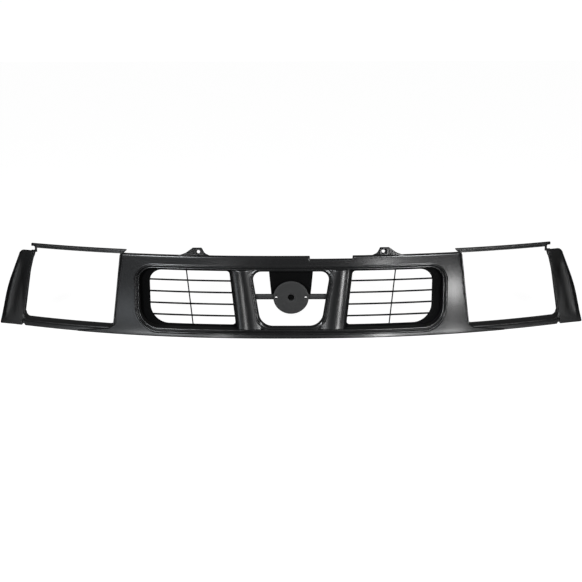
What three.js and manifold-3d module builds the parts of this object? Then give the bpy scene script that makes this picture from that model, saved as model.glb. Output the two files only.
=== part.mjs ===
// Front grille of a pickup truck, as an assembly of moulded plastic pieces held by screws:
// one painted shell with a long recess and a V-shaped centre panel, a black louvre insert on each side,
// a badge pad on a crossbar, a bracket that holds the pad from behind, a frame round each headlamp,
// and a corner tray outboard of each headlamp.
//
// X runs across, +Y runs back from the face, +Z is up. Millimetres.
// The pieces are worked out with Z 0 at the lower edge and Y 0 at the foremost point of the lower lip,
// and the finished group is then moved so that its origin is at the bottom centre of its own box.
import * as THREE from "three";
import { mergeVertices } from "three/addons/utils/BufferGeometryUtils.js";
import Module from "manifold-3d";

// ---------------------------------------------------------------- driving dimensions
// Overall form. The whole front is swept back towards its ends, and its face leans back towards the top.
const bodyHeight = 204;
const tipSweep = 150; // how far the outer tips lie behind the middle
const sweepPower = 2.25;
const topLean = 9;
const lipFlare = 7; // how far the lower lip stands forward of the face
const flareHeight = 28;

// Widths, from the middle outwards.
const trackHalf = 382; // half the width of the long recess
const sidePanelWidth = 35; // shell between the recess and the headlamp, at the top
const lampEdgeSlope = 0.128; // the headlamp's inner edge runs outwards as it goes down
const lampTopWidth = 222;
const lampBottomWidth = 239;
const trayTopWidth = 36;
const trayBottomWidth = 60.5;

// Heights.
const lipHeight = 14; // lower lip, from the lower edge to the recess
const topBandHeight = 28; // shell above the recess
const trackCorner = 42;
const ledgeHeight = 15; // top of the ledge that a headlamp sits on
const lampHeight = 183; // from that ledge to the bar above the headlamp
const trayHeight = 193;
const trayBulge = 9; // how far the tray's outer edge bows outwards
const lampBarHeight = 10;
const barOverhang = 14; // how far the bar reaches inwards past the headlamp's inner edge

// Walls, gaps and fits.
const wall = 3;
const joinDepth = 1.5; // how deep one stretch of a moulding runs into the next
const gap = 0.3; // clearance between separate pieces
const lampReveal = 4; // how far the headlamp frame shows beyond the shell's edge

// Depths, counted back from the swept middle surface.
const returnDepth = 34; // rear end of the shell's return walls
const flangeDepth = 24; // rear end of the top flange
const lowerFlangeDepth = 22;
const recessStep = 6; // how far the centre panel lies behind the face
const lampFrameBack = 44;
const lampOuterBack = 34; // the frame's outer wall is shallower
const lampBarFront = 38;
const trayFront = 4;
const trayForward = 8; // how far the tray's tip stands forward of the sweep
const trayRim = 14; // depth of the return round the tray's edge
const trayReturnDepth = 30; // rear end of the tray's bosses
const rimWidth = 3; // raised rim round the recess
const rimRise = 1.5;
const stepWidth = 7; // narrow ledge just inside the recess
const stepDepth = 4;

// Centre panel and its opening.
const postTopX = 149; // louvre side of the V-shaped posts, at the top of the recess
const postBottomX = 132;
const postCrown = 8;
const centreTopHalf = 96;
const centreBottomHalf = 74;
const centreTopMargin = 12; // from the recess's upper edge to the opening
const centreBottomMargin = 12;
const centreWallDepth = 28;

// Louvres.
const louvreSideMargin = 32; // outer side of the recess to the louvre opening
const louvreTopMargin = 14;
const louvreBottomMargin = 10;
const louvreLip = 4; // how far the insert shows inside a post's edge
const slatCount = 4;
const slatThickness = 3;
const slatDepth = 8;
const slatFront = 36;
const ribThickness = 2.5;

// Badge pad, its crossbar and the bracket behind it.
const padHalfWidth = 43.5;
const padHalfHeight = 41.5;
const padDepth = 24;
const padHoleSpacing = 72.5;
const padHoleRadius = 3;
// Extra radius of the holes in the bracket, behind those in the pad.
const pegRoom = 3.5;
const socketRadius = 7.5;
const spigotRadius = 5;
const hubRadius = 31;
const barHeight = 13;
const barFront = 30.3;
const barBack = 38;
const bracketTopWidth = 112;
const bracketBottomWidth = 96;
const bracketUpperDepth = 47;

// Latch notch in the top edge, on one side only.
const notchFrom = 46;
const notchTo = 150;
const notchDepth = 7.5;

// Top fixing tabs and lower locating tongues.
const tabX = 229;
const tabTopWidth = 22;
const tabBaseWidth = 80;
const tabRise = 19;
const tabHoleRadius = 4;
const tabHood = 8;
const tongueWidth = 24;
const tongueLength = 16;
const tonguePlaces = [150, 330];

// Screws and their bosses.
const screwRadius = 1.6;
const pilotRadius = 1.9;
const headRadius = 4.4;
const headHeight = 2.8;
const screwBite = 9;
const trayBite = 5; // the tray's bosses are short
const bossRadius = 5.5;
const earRadius = 7;

// Facet sizes.
const gridStep = 45;
const crownStep = 13;
const arcSag = 0.45; // furthest a facet lies inside its true arc
const roundSides = 8;
const holeSides = 6;

// ---------------------------------------------------------------- worked-out places
const trackBottom = lipHeight;
const trackTop = bodyHeight - topBandHeight;
const lampEdge = (z) => trackHalf + sidePanelWidth + (bodyHeight - z) * lampEdgeSlope;
const lampTop = ledgeHeight + lampHeight;
const lampInner = (z) => lampEdge(z) + lampReveal;
const louvreTop = trackTop - louvreTopMargin;
const louvreBottom = trackBottom + louvreBottomMargin;
const lampOuterTop = lampInner(lampTop) + lampTopWidth;
const lampOuterBottom = lampInner(ledgeHeight) + lampBottomWidth;
const halfWidth = lampOuterBottom + wall + gap + trayBottomWidth;
const centreTop = trackTop - centreTopMargin;
const centreBottom = trackBottom + centreBottomMargin;
const padZ = (centreTop + centreBottom) / 2 + 3.5;

const sweep = (x) => tipSweep * (Math.abs(x) / halfWidth) ** sweepPower;
const lean = (z) => lipFlare * (1 - Math.exp(-z / flareHeight)) + (topLean * z) / bodyHeight;
const face = (extra) => (x, z) => sweep(x) + lean(z) + extra;
const depth = (d) => (x) => sweep(x) + d;
const postEdge = (z) => postBottomX + ((postTopX - postBottomX) * (z - trackBottom)) / (trackTop - trackBottom);
const lampOuter = (z) =>
  lampOuterBottom + ((lampOuterTop - lampOuterBottom) * (z - ledgeHeight)) / lampHeight;
// The flat end of a boss, kept in front of a swept surface all over the boss's footprint.
const seat = (x, d) => sweep(x - earRadius) + d;

// Grid lines. Every swept block uses the same ones, so blocks laid one behind another never cross.
const symmetric = (list) => [...list.map((x) => -x).reverse(), 0, ...list];
const steps = (from, to, step) => {
  const count = Math.round((to - from) / step);
  return Array.from({ length: count + 1 }, (_, i) => from + i * step);
};
const widthLines = symmetric(steps(gridStep, 18 * gridStep, gridStep));
const crownLines = symmetric([gridStep, ...steps(72, 72 + 6 * crownStep, crownStep)]);
const plainHeights = [-30, bodyHeight + 30];
const lipHeights = [-30, 0, 9, 22, 42, 80, bodyHeight + 30];

// ---------------------------------------------------------------- solids
const wasm = await Module();
wasm.setup();

function solid(geometry) {
  geometry.deleteAttribute("normal");
  geometry.deleteAttribute("uv");
  const merged = mergeVertices(geometry, 1e-4);
  return new wasm.Manifold(
    new wasm.Mesh({
      numProp: 3,
      vertProperties: merged.attributes.position.array,
      triVerts: new Uint32Array(merged.index.array),
    }),
  );
}

function join(...solids) {
  return solids.reduce((whole, next) => whole.add(next));
}

function cut(body, ...tools) {
  return tools.reduce((left, tool) => left.subtract(tool), body);
}

function mesh(name, body, material) {
  const made = body.getMesh();
  const geometry = new THREE.BufferGeometry();
  const positions = new Float32Array(made.numVert * 3);
  for (let i = 0; i < made.numVert; i++)
    positions.set(made.vertProperties.subarray(i * made.numProp, i * made.numProp + 3), i * 3);
  geometry.setAttribute("position", new THREE.BufferAttribute(positions, 3));
  geometry.setIndex(new THREE.BufferAttribute(made.triVerts, 1));
  geometry.computeVertexNormals();
  const object = new THREE.Mesh(geometry, material);
  object.name = name;
  return object;
}

// A closed outline in X and Z from corners [x, z, radius], each rounded by a true arc. Anticlockwise.
function roundedLoop(corners) {
  const points = [];
  corners.forEach(([x, z, radius = 0], i) => {
    const here = new THREE.Vector2(x, z);
    const [bx, bz] = corners[(i + corners.length - 1) % corners.length];
    const [ax, az] = corners[(i + 1) % corners.length];
    if (radius === 0) {
      points.push(here);
      return;
    }
    const back = new THREE.Vector2(bx, bz).sub(here).normalize();
    const ahead = new THREE.Vector2(ax, az).sub(here).normalize();
    const half = Math.acos(THREE.MathUtils.clamp(back.dot(ahead), -1, 1)) / 2;
    const centre = back.clone().add(ahead).normalize().multiplyScalar(radius / Math.sin(half)).add(here);
    const start = back.multiplyScalar(radius / Math.tan(half)).add(here).sub(centre);
    const end = ahead.multiplyScalar(radius / Math.tan(half)).add(here).sub(centre);
    const turn = Math.atan2(start.x * end.y - start.y * end.x, start.dot(end));
    const count = Math.max(2, Math.round(Math.abs(turn) / (2 * Math.acos(1 - arcSag / radius))));
    for (let k = 0; k <= count; k++)
      points.push(start.clone().rotateAround(new THREE.Vector2(), (turn * k) / count).add(centre));
  });
  return points;
}

const mirrored = (corners) => corners.map(([x, z, radius]) => [-x, z, radius]).reverse();
// The whole width from the corners of its right half, listed from the bottom to the top.
const bothHalves = (corners) => [...corners, ...mirrored(corners)];
const box = (x0, x1, z0, z1) => roundedLoop([[x0, z0], [x1, z0], [x1, z1], [x0, z1]]);

// The outline moved outwards by a distance, corner by corner.
function grown(loop, distance) {
  const count = loop.length;
  const normal = (a, b) => new THREE.Vector2(b.y - a.y, a.x - b.x).normalize();
  return loop.map((point, i) => {
    const before = normal(loop[(i + count - 1) % count], point);
    const after = normal(point, loop[(i + 1) % count]);
    const along = before.clone().add(after).normalize();
    return along.multiplyScalar(distance / along.dot(after)).add(point);
  });
}

// A prism of the outline in X and Z, from y0 back to y1.
function prism(loop, holes, y0, y1) {
  const shape = new THREE.Shape(loop);
  shape.holes = holes.map((hole) => new THREE.Path(hole));
  const geometry = new THREE.ExtrudeGeometry(shape, { depth: y1 - y0, bevelEnabled: false, steps: 1 });
  return solid(geometry.rotateX(Math.PI / 2).translate(0, y1, 0));
}

// A block between two depth surfaces, sampled on the given grid lines.
function slab(front, back, xs, zs) {
  const columns = xs.length - 1;
  const rows = zs.length - 1;
  const positions = [];
  for (const surface of [front, back])
    for (const x of xs)
      for (const z of zs) positions.push(x, surface(x, z), z);
  const at = (side, i, k) => (side * (columns + 1) + i) * (rows + 1) + k;
  const faces = [];
  const quad = (a, b, c, d) => faces.push(a, b, c, a, c, d);
  for (let i = 0; i < columns; i++)
    for (let k = 0; k < rows; k++) {
      quad(at(0, i, k), at(0, i + 1, k), at(0, i + 1, k + 1), at(0, i, k + 1));
      quad(at(1, i, k), at(1, i, k + 1), at(1, i + 1, k + 1), at(1, i + 1, k));
    }
  for (let i = 0; i < columns; i++) {
    quad(at(0, i, 0), at(1, i, 0), at(1, i + 1, 0), at(0, i + 1, 0));
    quad(at(0, i, rows), at(0, i + 1, rows), at(1, i + 1, rows), at(1, i, rows));
  }
  for (let k = 0; k < rows; k++) {
    quad(at(0, 0, k), at(0, 0, k + 1), at(1, 0, k + 1), at(1, 0, k));
    quad(at(0, columns, k), at(1, columns, k), at(1, columns, k + 1), at(0, columns, k + 1));
  }
  const geometry = new THREE.BufferGeometry();
  geometry.setAttribute("position", new THREE.Float32BufferAttribute(positions, 3));
  geometry.setIndex(faces);
  return solid(geometry);
}

// What lies inside the outline, outside its holes, and between two depth surfaces.
function between(front, back, loop, { holes = [], xs = widthLines, zs = plainHeights } = {}) {
  return slab(front, back, xs, zs).intersect(prism(loop, holes, -50, tipSweep + 150));
}

// A wall of a given thickness round the outside of an outline.
const ringWall = (loop, thickness, front, back, lines) =>
  between(front, back, grown(loop, thickness), { ...lines, holes: [loop] });

// A round bar along Y.
function rod(x, z, radius, y0, y1, sides = roundSides) {
  const geometry = new THREE.CylinderGeometry(radius, radius, y1 - y0, sides);
  return solid(geometry.translate(x, (y0 + y1) / 2, z));
}

// ---------------------------------------------------------------- materials
const paint = new THREE.MeshStandardMaterial({ color: 0x3b3c3f, roughness: 0.4, metalness: 0.25 });
const blackPlastic = new THREE.MeshStandardMaterial({ color: 0x0c0c0d, roughness: 0.55 });
const framePlastic = new THREE.MeshStandardMaterial({ color: 0x1d1d1e, roughness: 0.6 });
const trayPlastic = new THREE.MeshStandardMaterial({ color: 0x262626, roughness: 0.75 });
const padPlastic = new THREE.MeshStandardMaterial({ color: 0x3c3c3d, roughness: 0.55 });
const zinc = new THREE.MeshStandardMaterial({ color: 0x9a9c9e, roughness: 0.35, metalness: 1 });

// ---------------------------------------------------------------- screw places
// Each is [x, z, y], with y the rear end of the boss. The ear that the screw holds starts one gap behind it.
const onReturn = ([x, z]) => [x, z, seat(x, returnDepth)];
const louvreScrews = [
  [trackHalf - 62, trackTop + 12],
  [postTopX + 31, trackTop + 12],
  [trackHalf + 11, trackBottom + 50],
  [trackHalf + 11, trackTop - 45],
  [postEdge(trackBottom + 42) - 14, trackBottom + 42],
].map(onReturn);
const lampScrews = [20, 87, 158].map((up) => onReturn([lampEdge(ledgeHeight + up) - 9, ledgeHeight + up]));
const trayScrews = [28, 90, 150].map((up) => {
  const x = lampOuter(ledgeHeight + up) + wall + 11;
  return [x, ledgeHeight + up, seat(x, trayReturnDepth), trayBite];
});
const barScrew = [(postEdge(padZ) + centreTopHalf) / 2 - 6, padZ, barFront - gap];
const bracketScrew = [38, trackTop + 6, bracketUpperDepth - gap];
const hubScrew = [22, padZ];

const boss = ([x, z, y], from) => rod(x, z, bossRadius, from, y);
const pilot = ([x, z, y, bite = screwBite]) => rod(x, z, pilotRadius, y - bite - 1, y + 1, holeSides);
const ear = ([x, z, y]) => rod(x, z, earRadius, y + gap, y + gap + wall);
const earHole = ([x, z, y]) => rod(x, z, pilotRadius + gap, y - 1, y + 3 * wall, holeSides);

// ---------------------------------------------------------------- outlines
const track = roundedLoop([
  [-trackHalf, trackBottom, trackCorner], [trackHalf, trackBottom, trackCorner],
  [trackHalf, trackTop, trackCorner], [-trackHalf, trackTop, trackCorner],
]);
const centreOpening = roundedLoop(bothHalves([
  [centreBottomHalf, centreBottom, 34], [centreTopHalf, centreTop, 20],
]));
const panelOutline = roundedLoop(bothHalves([
  [postBottomX, trackBottom - joinDepth], [postTopX, trackTop + joinDepth],
]));
const louvreOpening = roundedLoop([
  [postEdge(louvreBottom) + louvreLip, louvreBottom, 8],
  [trackHalf - louvreSideMargin, louvreBottom, 46],
  [trackHalf - louvreSideMargin, louvreTop, 32],
  [postEdge(louvreTop) + louvreLip, louvreTop, 8],
]);
const lampOpening = roundedLoop([
  [lampInner(ledgeHeight), ledgeHeight, 10],
  [lampOuterBottom, ledgeHeight, 11],
  [lampOuter(lampTop - 58) + 4, lampTop - 58, 250],
  [lampOuterTop, lampTop, 4],
  [lampInner(lampTop), lampTop, 3],
]);
const railTop = ledgeHeight - joinDepth;
const trayTopX = lampOuter(trayHeight) + wall + trayTopWidth;
const trayEdge = (z) => halfWidth + ((trayTopX - halfWidth) * z) / trayHeight;
// Its inner side is cut to the headlamp frame, so this outline only has to reach inside that.
const trayOutline = roundedLoop([
  [lampOuterBottom + wall + gap, 0], [halfWidth, 0, 3], [trayEdge(trayHeight / 2) + trayBulge, trayHeight / 2, 400],
  [trayTopX, trayHeight, 14], [lampOuter(trayHeight) - 20, trayHeight],
  [lampOuter(ledgeHeight) - 20, railTop + gap], [lampOuterBottom + wall + gap, railTop + gap],
]);
const besideFrame = prism(grown(lampOpening, wall + gap), [], -50, tipSweep + 150);

// ---------------------------------------------------------------- shell
// Most of the shell is made as its right half and then mirrored.
const lip = { zs: lipHeights };
const crowned = { xs: crownLines, zs: lipHeights };
const skinInside = face(joinDepth);

// The corner of the shell runs out under the headlamp as a tapering tail.
function shellOutline() {
  const tail = lampEdge(ledgeHeight) + 95;
  return roundedLoop(bothHalves([
    [tail, 0], [tail, 4, 1], [lampEdge(ledgeHeight) + 14, lipHeight - 1, 30],
    [lampEdge(ledgeHeight + 9), ledgeHeight + 9, 8], [lampEdge(bodyHeight), bodyHeight],
  ]));
}

// The centre panel is crowned across each post.
function centreFront(extra) {
  return (x, z) => {
    const share = (centreTop - z) / (centreTop - centreBottom);
    const inner = centreTopHalf - (centreTopHalf - centreBottomHalf) * share;
    const middle = (postEdge(z) + inner) / 2;
    const across = (Math.abs(x) - middle) / (middle - inner);
    return sweep(x) + lean(z) + recessStep - postCrown * Math.max(0, 1 - across * across) + extra;
  };
}

// A raised rim runs round the recess, and a narrow ledge just inside it.
function shellSkin() {
  const inner = grown(track, -stepWidth);
  const ledgeBack = face(stepDepth + wall);
  return join(
    between(face(0), face(wall), shellOutline(), { ...lip, holes: [track] }),
    ringWall(track, rimWidth, face(-rimRise), skinInside, lip),
    ringWall(track, wall, skinInside, ledgeBack, lip),
    between(face(stepDepth), ledgeBack, grown(track, joinDepth), { ...lip, holes: [inner] }),
    ringWall(inner, wall, face(stepDepth + joinDepth), depth(returnDepth), lip),
  );
}

// It is thicker along its top and bottom, where it meets the ledge.
function centrePanel() {
  const panel = between(centreFront(0), centreFront(wall), panelOutline, { ...crowned, holes: [centreOpening] });
  const borders = [[trackBottom, trackBottom + stepWidth + wall], [trackTop - stepWidth - wall, trackTop]].map(
    ([low, high]) => {
      const strip = box(-postEdge(low), postEdge(low), low, high);
      return between(centreFront(joinDepth), face(recessStep + 2 * wall), strip, crowned);
    },
  );
  const rolled = ringWall(centreOpening, wall, centreFront(joinDepth), depth(centreWallDepth), crowned);
  return join(panel, ...borders, rolled);
}

// The louvre side of a post runs back to where the louvre insert rests.
function postReturn() {
  const strip = roundedLoop([
    [postBottomX - wall, trackBottom - joinDepth], [postBottomX, trackBottom - joinDepth],
    [postTopX, trackTop + joinDepth], [postTopX - wall, trackTop + joinDepth],
  ]);
  return between(centreFront(joinDepth), depth(returnDepth), strip, crowned);
}

// Stiffening edge beside the headlamp.
function lampSideReturn() {
  const foot = ledgeHeight + 12;
  const strip = roundedLoop([
    [lampEdge(foot) - wall, foot], [lampEdge(foot), foot],
    [lampEdge(bodyHeight), bodyHeight], [lampEdge(bodyHeight) - wall, bodyHeight],
  ]);
  return between(skinInside, face(3 * wall), strip, lip);
}

// Top and bottom flanges. The top one stops short of the bars of the headlamp frames.
function flanges() {
  const topEnd = lampInner(bodyHeight) - barOverhang - 2;
  const bottomEnd = lampEdge(0) - 8;
  return join(
    between(skinInside, depth(flangeDepth), box(-topEnd, topEnd, bodyHeight - wall, bodyHeight), lip),
    between(skinInside, depth(lowerFlangeDepth), box(-bottomEnd, bottomEnd, 0, wall), lip),
  );
}

// A tab that stands up from the rear of the top flange. A short hood and a cheek shield its hole.
function topTab() {
  const rear = sweep(tabX) + flangeDepth;
  const hoodFront = rear - wall - tabHood;
  const foot = bodyHeight - wall;
  const top = bodyHeight + tabRise;
  const left = tabX - 12;
  const plate = prism(
    roundedLoop([
      [left - 15, foot], [left + tabBaseWidth - 15, foot], [left + tabTopWidth, top, 3], [left, top, 3],
    ]), [], rear - wall, rear,
  );
  const hood = prism(box(left + 1, left + tabTopWidth - 1, top - 2.5, top), [], hoodFront, rear - 1);
  const cheek = prism(box(left + 14, left + 20, foot + 6, top - 1), [], hoodFront, rear - 1);
  return cut(join(plate, hood, cheek), rod(tabX - 4, bodyHeight + 9, tabHoleRadius, rear - 4, rear + 1));
}

// Tongues that reach back into slots of the bumper.
function lowerTongue(x) {
  const start = sweep(x - tongueWidth / 2) + lowerFlangeDepth - 4;
  return prism(box(x - tongueWidth / 2, x + tongueWidth / 2, 0, wall), [], start, start + tongueLength + 4);
}

function shellBosses() {
  const onSkin = [...louvreScrews, ...lampScrews].map((s) => boss(s, skinInside(s[0], s[1])));
  return join(
    ...onSkin,
    boss(barScrew, centreFront(joinDepth)(barScrew[0], barScrew[1])),
    boss(bracketScrew, skinInside(bracketScrew[0], bracketScrew[1])),
  );
}

// The latch notch has its own floor and ends.
function notched(body) {
  const floor = bodyHeight - notchDepth;
  const opening = prism(box(notchFrom, notchTo, floor, bodyHeight + 5), [], -20, 90);
  const lining = [
    box(notchFrom - wall, notchTo + wall, floor - wall, floor),
    box(notchFrom - wall, notchFrom, floor - wall, bodyHeight - joinDepth),
    box(notchTo, notchTo + wall, floor - wall, bodyHeight - joinDepth),
  ].map((strip) => between(skinInside, depth(flangeDepth), strip, lip));
  return join(cut(body, opening), ...lining);
}

function shell() {
  const half = join(
    postReturn(), lampSideReturn(), topTab(), ...tonguePlaces.map(lowerTongue), shellBosses(),
  );
  const whole = join(shellSkin(), centrePanel(), flanges(), half, half.mirror([1, 0, 0]));
  const pilots = [...louvreScrews, ...lampScrews, barScrew, bracketScrew].map(pilot);
  return notched(cut(whole, ...pilots, ...pilots.map((hole) => hole.mirror([1, 0, 0]))));
}

// ---------------------------------------------------------------- louvre insert, right hand
function louvreBars() {
  const pitch = (louvreTop - louvreBottom) / (slatCount + 0.63);
  const left = postEdge(louvreBottom);
  const right = trackHalf - louvreSideMargin + 1;
  const slats = Array.from({ length: slatCount }, (_, i) => {
    const z = louvreTop - pitch * (i + 0.866);
    return box(left, right, z - slatThickness / 2, z + slatThickness / 2);
  });
  const ribTop = (postTopX + trackHalf) / 2 - 8;
  const ribBottom = (postBottomX + trackHalf) / 2 - 13;
  const rib = roundedLoop([
    [ribBottom - ribThickness / 2, louvreBottom - 1], [ribBottom + ribThickness / 2, louvreBottom - 1],
    [ribTop + ribThickness / 2, louvreTop + 1], [ribTop - ribThickness / 2, louvreTop + 1],
  ]);
  const bars = [...slats, rib].map((strip) => between(depth(slatFront), depth(slatFront + slatDepth), strip));
  return join(...bars).intersect(prism(grown(louvreOpening, joinDepth), [], -10, tipSweep + 90));
}

function louvreInsert() {
  const outer = roundedLoop([
    [postEdge(trackBottom) - 8, trackBottom - 4, 6], [trackHalf + 6, trackBottom - 4, trackCorner + 6],
    [trackHalf + 6, trackTop + 6, trackCorner + 6], [postEdge(trackTop) - 8, trackTop + 6, 6],
  ]);
  const seatFront = returnDepth + gap;
  const flange = between(depth(seatFront), depth(seatFront + wall), outer, { holes: [louvreOpening] });
  const rim = ringWall(louvreOpening, wall, depth(seatFront + joinDepth), depth(slatFront + slatDepth));
  const body = join(flange, rim, louvreBars(), ...louvreScrews.map(ear));
  return cut(body, ...louvreScrews.map(earHole));
}

// ---------------------------------------------------------------- badge pad and bracket
function crossbar() {
  const end = barScrew[0] + 4;
  const half = barHeight / 2;
  const bar = prism(box(-end, end, padZ - half, padZ + half), [], barFront, barBack);
  const channel = prism(
    box(-end - 1, end + 1, padZ - half + wall, padZ + half - wall), [], barFront + wall, barBack + 1,
  );
  const ends = [1, -1].map((side) => rod(side * barScrew[0], padZ, earRadius + 1, barFront, barBack));
  const headRooms = [1, -1].map((side) =>
    rod(side * barScrew[0], padZ, headRadius + 2 * gap, barFront + wall, barBack + 1));
  const middleRoom = rod(0, padZ, hubRadius - 1, 0, barBack + 2, 20);
  return cut(join(cut(bar, channel), ...ends), ...headRooms, middleRoom);
}

function badgePad() {
  const disc = rod(0, 0, 1, padDepth, padDepth + wall, 32).scale([padHalfWidth, 1, padHalfHeight]);
  const hub = rod(0, padZ, hubRadius, padDepth + joinDepth, barBack, 20);
  const holes = [1, -1].flatMap((side) => [
    rod((side * padHoleSpacing) / 2, padZ, padHoleRadius, padDepth - 1, barBack + 1),
    rod(side * barScrew[0], padZ, pilotRadius + gap, padDepth, barBack + 1, holeSides),
    rod(side * hubScrew[0], padZ, pilotRadius, barBack - screwBite, barBack + 1, holeSides),
  ]);
  const socket = rod(0, padZ, socketRadius, 0, barBack + 2, 16);
  return cut(join(disc.translate([0, 0, padZ]), hub, crossbar()), socket, ...holes);
}

// A sheet bent along X: its side profile in Y and Z, as wide as the bracket.
function bent(profile) {
  const width = bracketTopWidth + 20;
  const shape = new THREE.Shape(profile.map(([y, z]) => new THREE.Vector2(y, z)));
  const geometry = new THREE.ExtrudeGeometry(shape, { depth: width, bevelEnabled: false, steps: 1 });
  const turn = new THREE.Matrix4().set(0, 0, 1, -width / 2, 1, 0, 0, 0, 0, 1, 0, 0, 0, 0, 0, 1);
  return solid(geometry.applyMatrix4(turn));
}

function bracket() {
  const low = barBack + gap;
  const high = bracketUpperDepth;
  const foot = padZ - 28;
  const top = bracketScrew[1] + earRadius;
  const side = (from, thickness) => [
    [from, foot], [low + thickness, foot], [low + thickness, padZ + 22],
    [high + thickness, padZ + 60], [high + thickness, top], [from, top],
  ];
  const ahead = bent(side(0, 0));
  const outline = roundedLoop(bothHalves([
    [bracketBottomWidth / 2 - 20, foot, 8], [bracketBottomWidth / 2, padZ, 20],
    [bracketTopWidth / 2, trackTop, 4], [bracketTopWidth / 2, top, 3],
  ]));
  const flangeStrip = roundedLoop([
    [bracketBottomWidth / 2 - wall - 1, padZ + 6], [bracketBottomWidth / 2 - 1, padZ + 6],
    [bracketTopWidth / 2 - 1, trackTop - 6], [bracketTopWidth / 2 - 1 - wall, trackTop - 6],
  ]);
  const rail = bent(side(0, 3 * wall)).intersect(prism(flangeStrip, [], 0, 90));
  const plate = bent(side(0, wall)).intersect(prism(outline, [], 0, 90));
  const spigot = rod(0, padZ, spigotRadius, padDepth + 1.5, low + 1, 16);
  const holes = [1, -1].flatMap((s) => [
    rod(s * bracketScrew[0], bracketScrew[1], pilotRadius + gap, high - 2, high + 2 * wall, holeSides),
    rod(s * hubScrew[0], padZ, pilotRadius + gap, low - 1, low + 2 * wall, holeSides),
    rod((s * padHoleSpacing) / 2, padZ, padHoleRadius + pegRoom, low - 1, low + 2 * wall),
  ]);
  const sheet = cut(join(plate, rail, rail.mirror([1, 0, 0])), ahead, ...holes);
  return cut(join(sheet, spigot), rod(0, padZ, 1.6, padDepth, padDepth + 8));
}

// ---------------------------------------------------------------- headlamp frame, right hand
// It follows the back of the shell's skin, one gap behind it.
const frameFront = wall + gap;
const barStart = lampInner(bodyHeight) - barOverhang;
const barEnd = lampOuterTop + 13;

function lampTunnel() {
  const walls = ringWall(lampOpening, wall, face(frameFront), depth(lampFrameBack), lip);
  const openTop = between(
    depth(-40), depth(lampBarFront), box(barStart - 60, lampOuterBottom + 60, lampTop - 5, lampTop + 30),
  );
  const behindOuter = between(
    depth(lampOuterBack), depth(lampFrameBack + 5),
    box(lampOuterTop - 20, lampOuterBottom + 20, ledgeHeight + 14, lampTop - 22),
  );
  return cut(walls, openTop, behindOuter);
}

// The rail under the headlamp and its foot. A small notch parts its outer end from the tray.
function lampRail() {
  const left = lampInner(0) - 1;
  const right = lampOuterBottom + wall;
  const notchStart = right - 8;
  const notch = roundedLoop([[notchStart, -1], [right + 1, -1], [right + 1, 5], [notchStart + 2, 4]]);
  return join(
    between(face(frameFront), face(frameFront + wall), box(left, right, 0, railTop), lip),
    between(face(frameFront), face(frameFront + 14), box(left, notchStart, 0, wall), lip),
  ).subtract(prism(notch, [], -50, tipSweep + 150));
}

// The bar over the headlamp is a channel, open to the front. A heel joins its inner end to the wall below.
function lampBar() {
  const top = lampTop + lampBarHeight;
  const bar = between(
    depth(lampBarFront), depth(lampFrameBack + 4),
    roundedLoop([
      [barStart + 9, lampTop], [barEnd, lampTop], [barEnd, top], [barStart, top], [barStart, top - 2],
    ]),
  );
  const channel = between(
    depth(lampBarFront - 5), depth(lampBarFront + 3),
    box(barStart + 16, lampOuterTop - 8, lampTop + wall, top - 2.5),
  );
  const heel = box(barStart + 5, lampInner(lampTop) + joinDepth, lampTop - 9, lampTop + joinDepth);
  return join(bar.subtract(channel), between(depth(lampBarFront), depth(lampFrameBack), heel));
}

// The bar's outer end carries an ear, with a slot that opens outwards.
function barEar() {
  const plate = roundedLoop([
    [lampOuterTop - 2, lampTop - 11], [barEnd, lampTop - 11, 2], [barEnd, lampTop + 2],
    [lampOuterTop - 2, lampTop + 2],
  ]);
  return between(depth(lampBarFront), depth(lampBarFront + wall), plate);
}

function earSlot() {
  const slot = roundedLoop([
    [lampOuterTop + 4, lampTop - 6, 3], [barEnd + 5, lampTop - 6], [barEnd + 5, lampTop + 4],
    [lampOuterTop + 4, lampTop + 4, 3],
  ]);
  return prism(slot, [], 0, tipSweep + 90);
}

// A web joins each ear to the nearer wall of the frame.
function lampEars() {
  return [...lampScrews, ...trayScrews].map(([x, z, y]) => {
    const inner = x < lampInner(z);
    const strip = inner
      ? box(x, lampInner(z) - joinDepth, z - 5, z + 5)
      : box(lampOuter(z) + joinDepth, x, z - 5, z + 5);
    return join(ear([x, z, y]), prism(strip, [], y + gap, y + gap + wall));
  });
}

function lampFrame() {
  const body = join(lampTunnel(), lampRail(), lampBar(), barEar(), ...lampEars());
  const below = prism(box(0, 2 * halfWidth, 0, lampTop), [], -60, tipSweep + 160);
  const clear = prism(lampOpening, [], -50, tipSweep + 150).intersect(below);
  return cut(body, earSlot(), clear, ...[...lampScrews, ...trayScrews].map(earHole));
}

// ---------------------------------------------------------------- corner tray, right hand
// Outboard of the headlamp the sweep eases off.
const trayLines = [...steps(14 * gridStep, 15 * gridStep, gridStep), lampOuterBottom, 16 * gridStep, 17 * gridStep];
const trayFace = (extra) => (x, z) =>
  face(extra)(x, z) - (trayForward * Math.max(0, x - lampOuterBottom)) / trayBottomWidth;

// A soft ridge runs down the face, nearer to the edge at its top.
function trayRidge() {
  const outer = steps(28, 158, 13).map((z) => {
    const fromMiddle = (2 * z) / trayHeight - 1;
    return [trayEdge(z) + 0.8 * trayBulge * (1 - fromMiddle ** 2) - 11.5 + (6 * z) / trayHeight, z];
  });
  const inner = outer.map(([x, z]) => [x - 3, z]).reverse();
  const lines = { xs: trayLines, zs: lipHeights };
  return between(trayFace(trayFront - 1.2), trayFace(trayFront + joinDepth), roundedLoop([...outer, ...inner]), lines);
}

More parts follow.
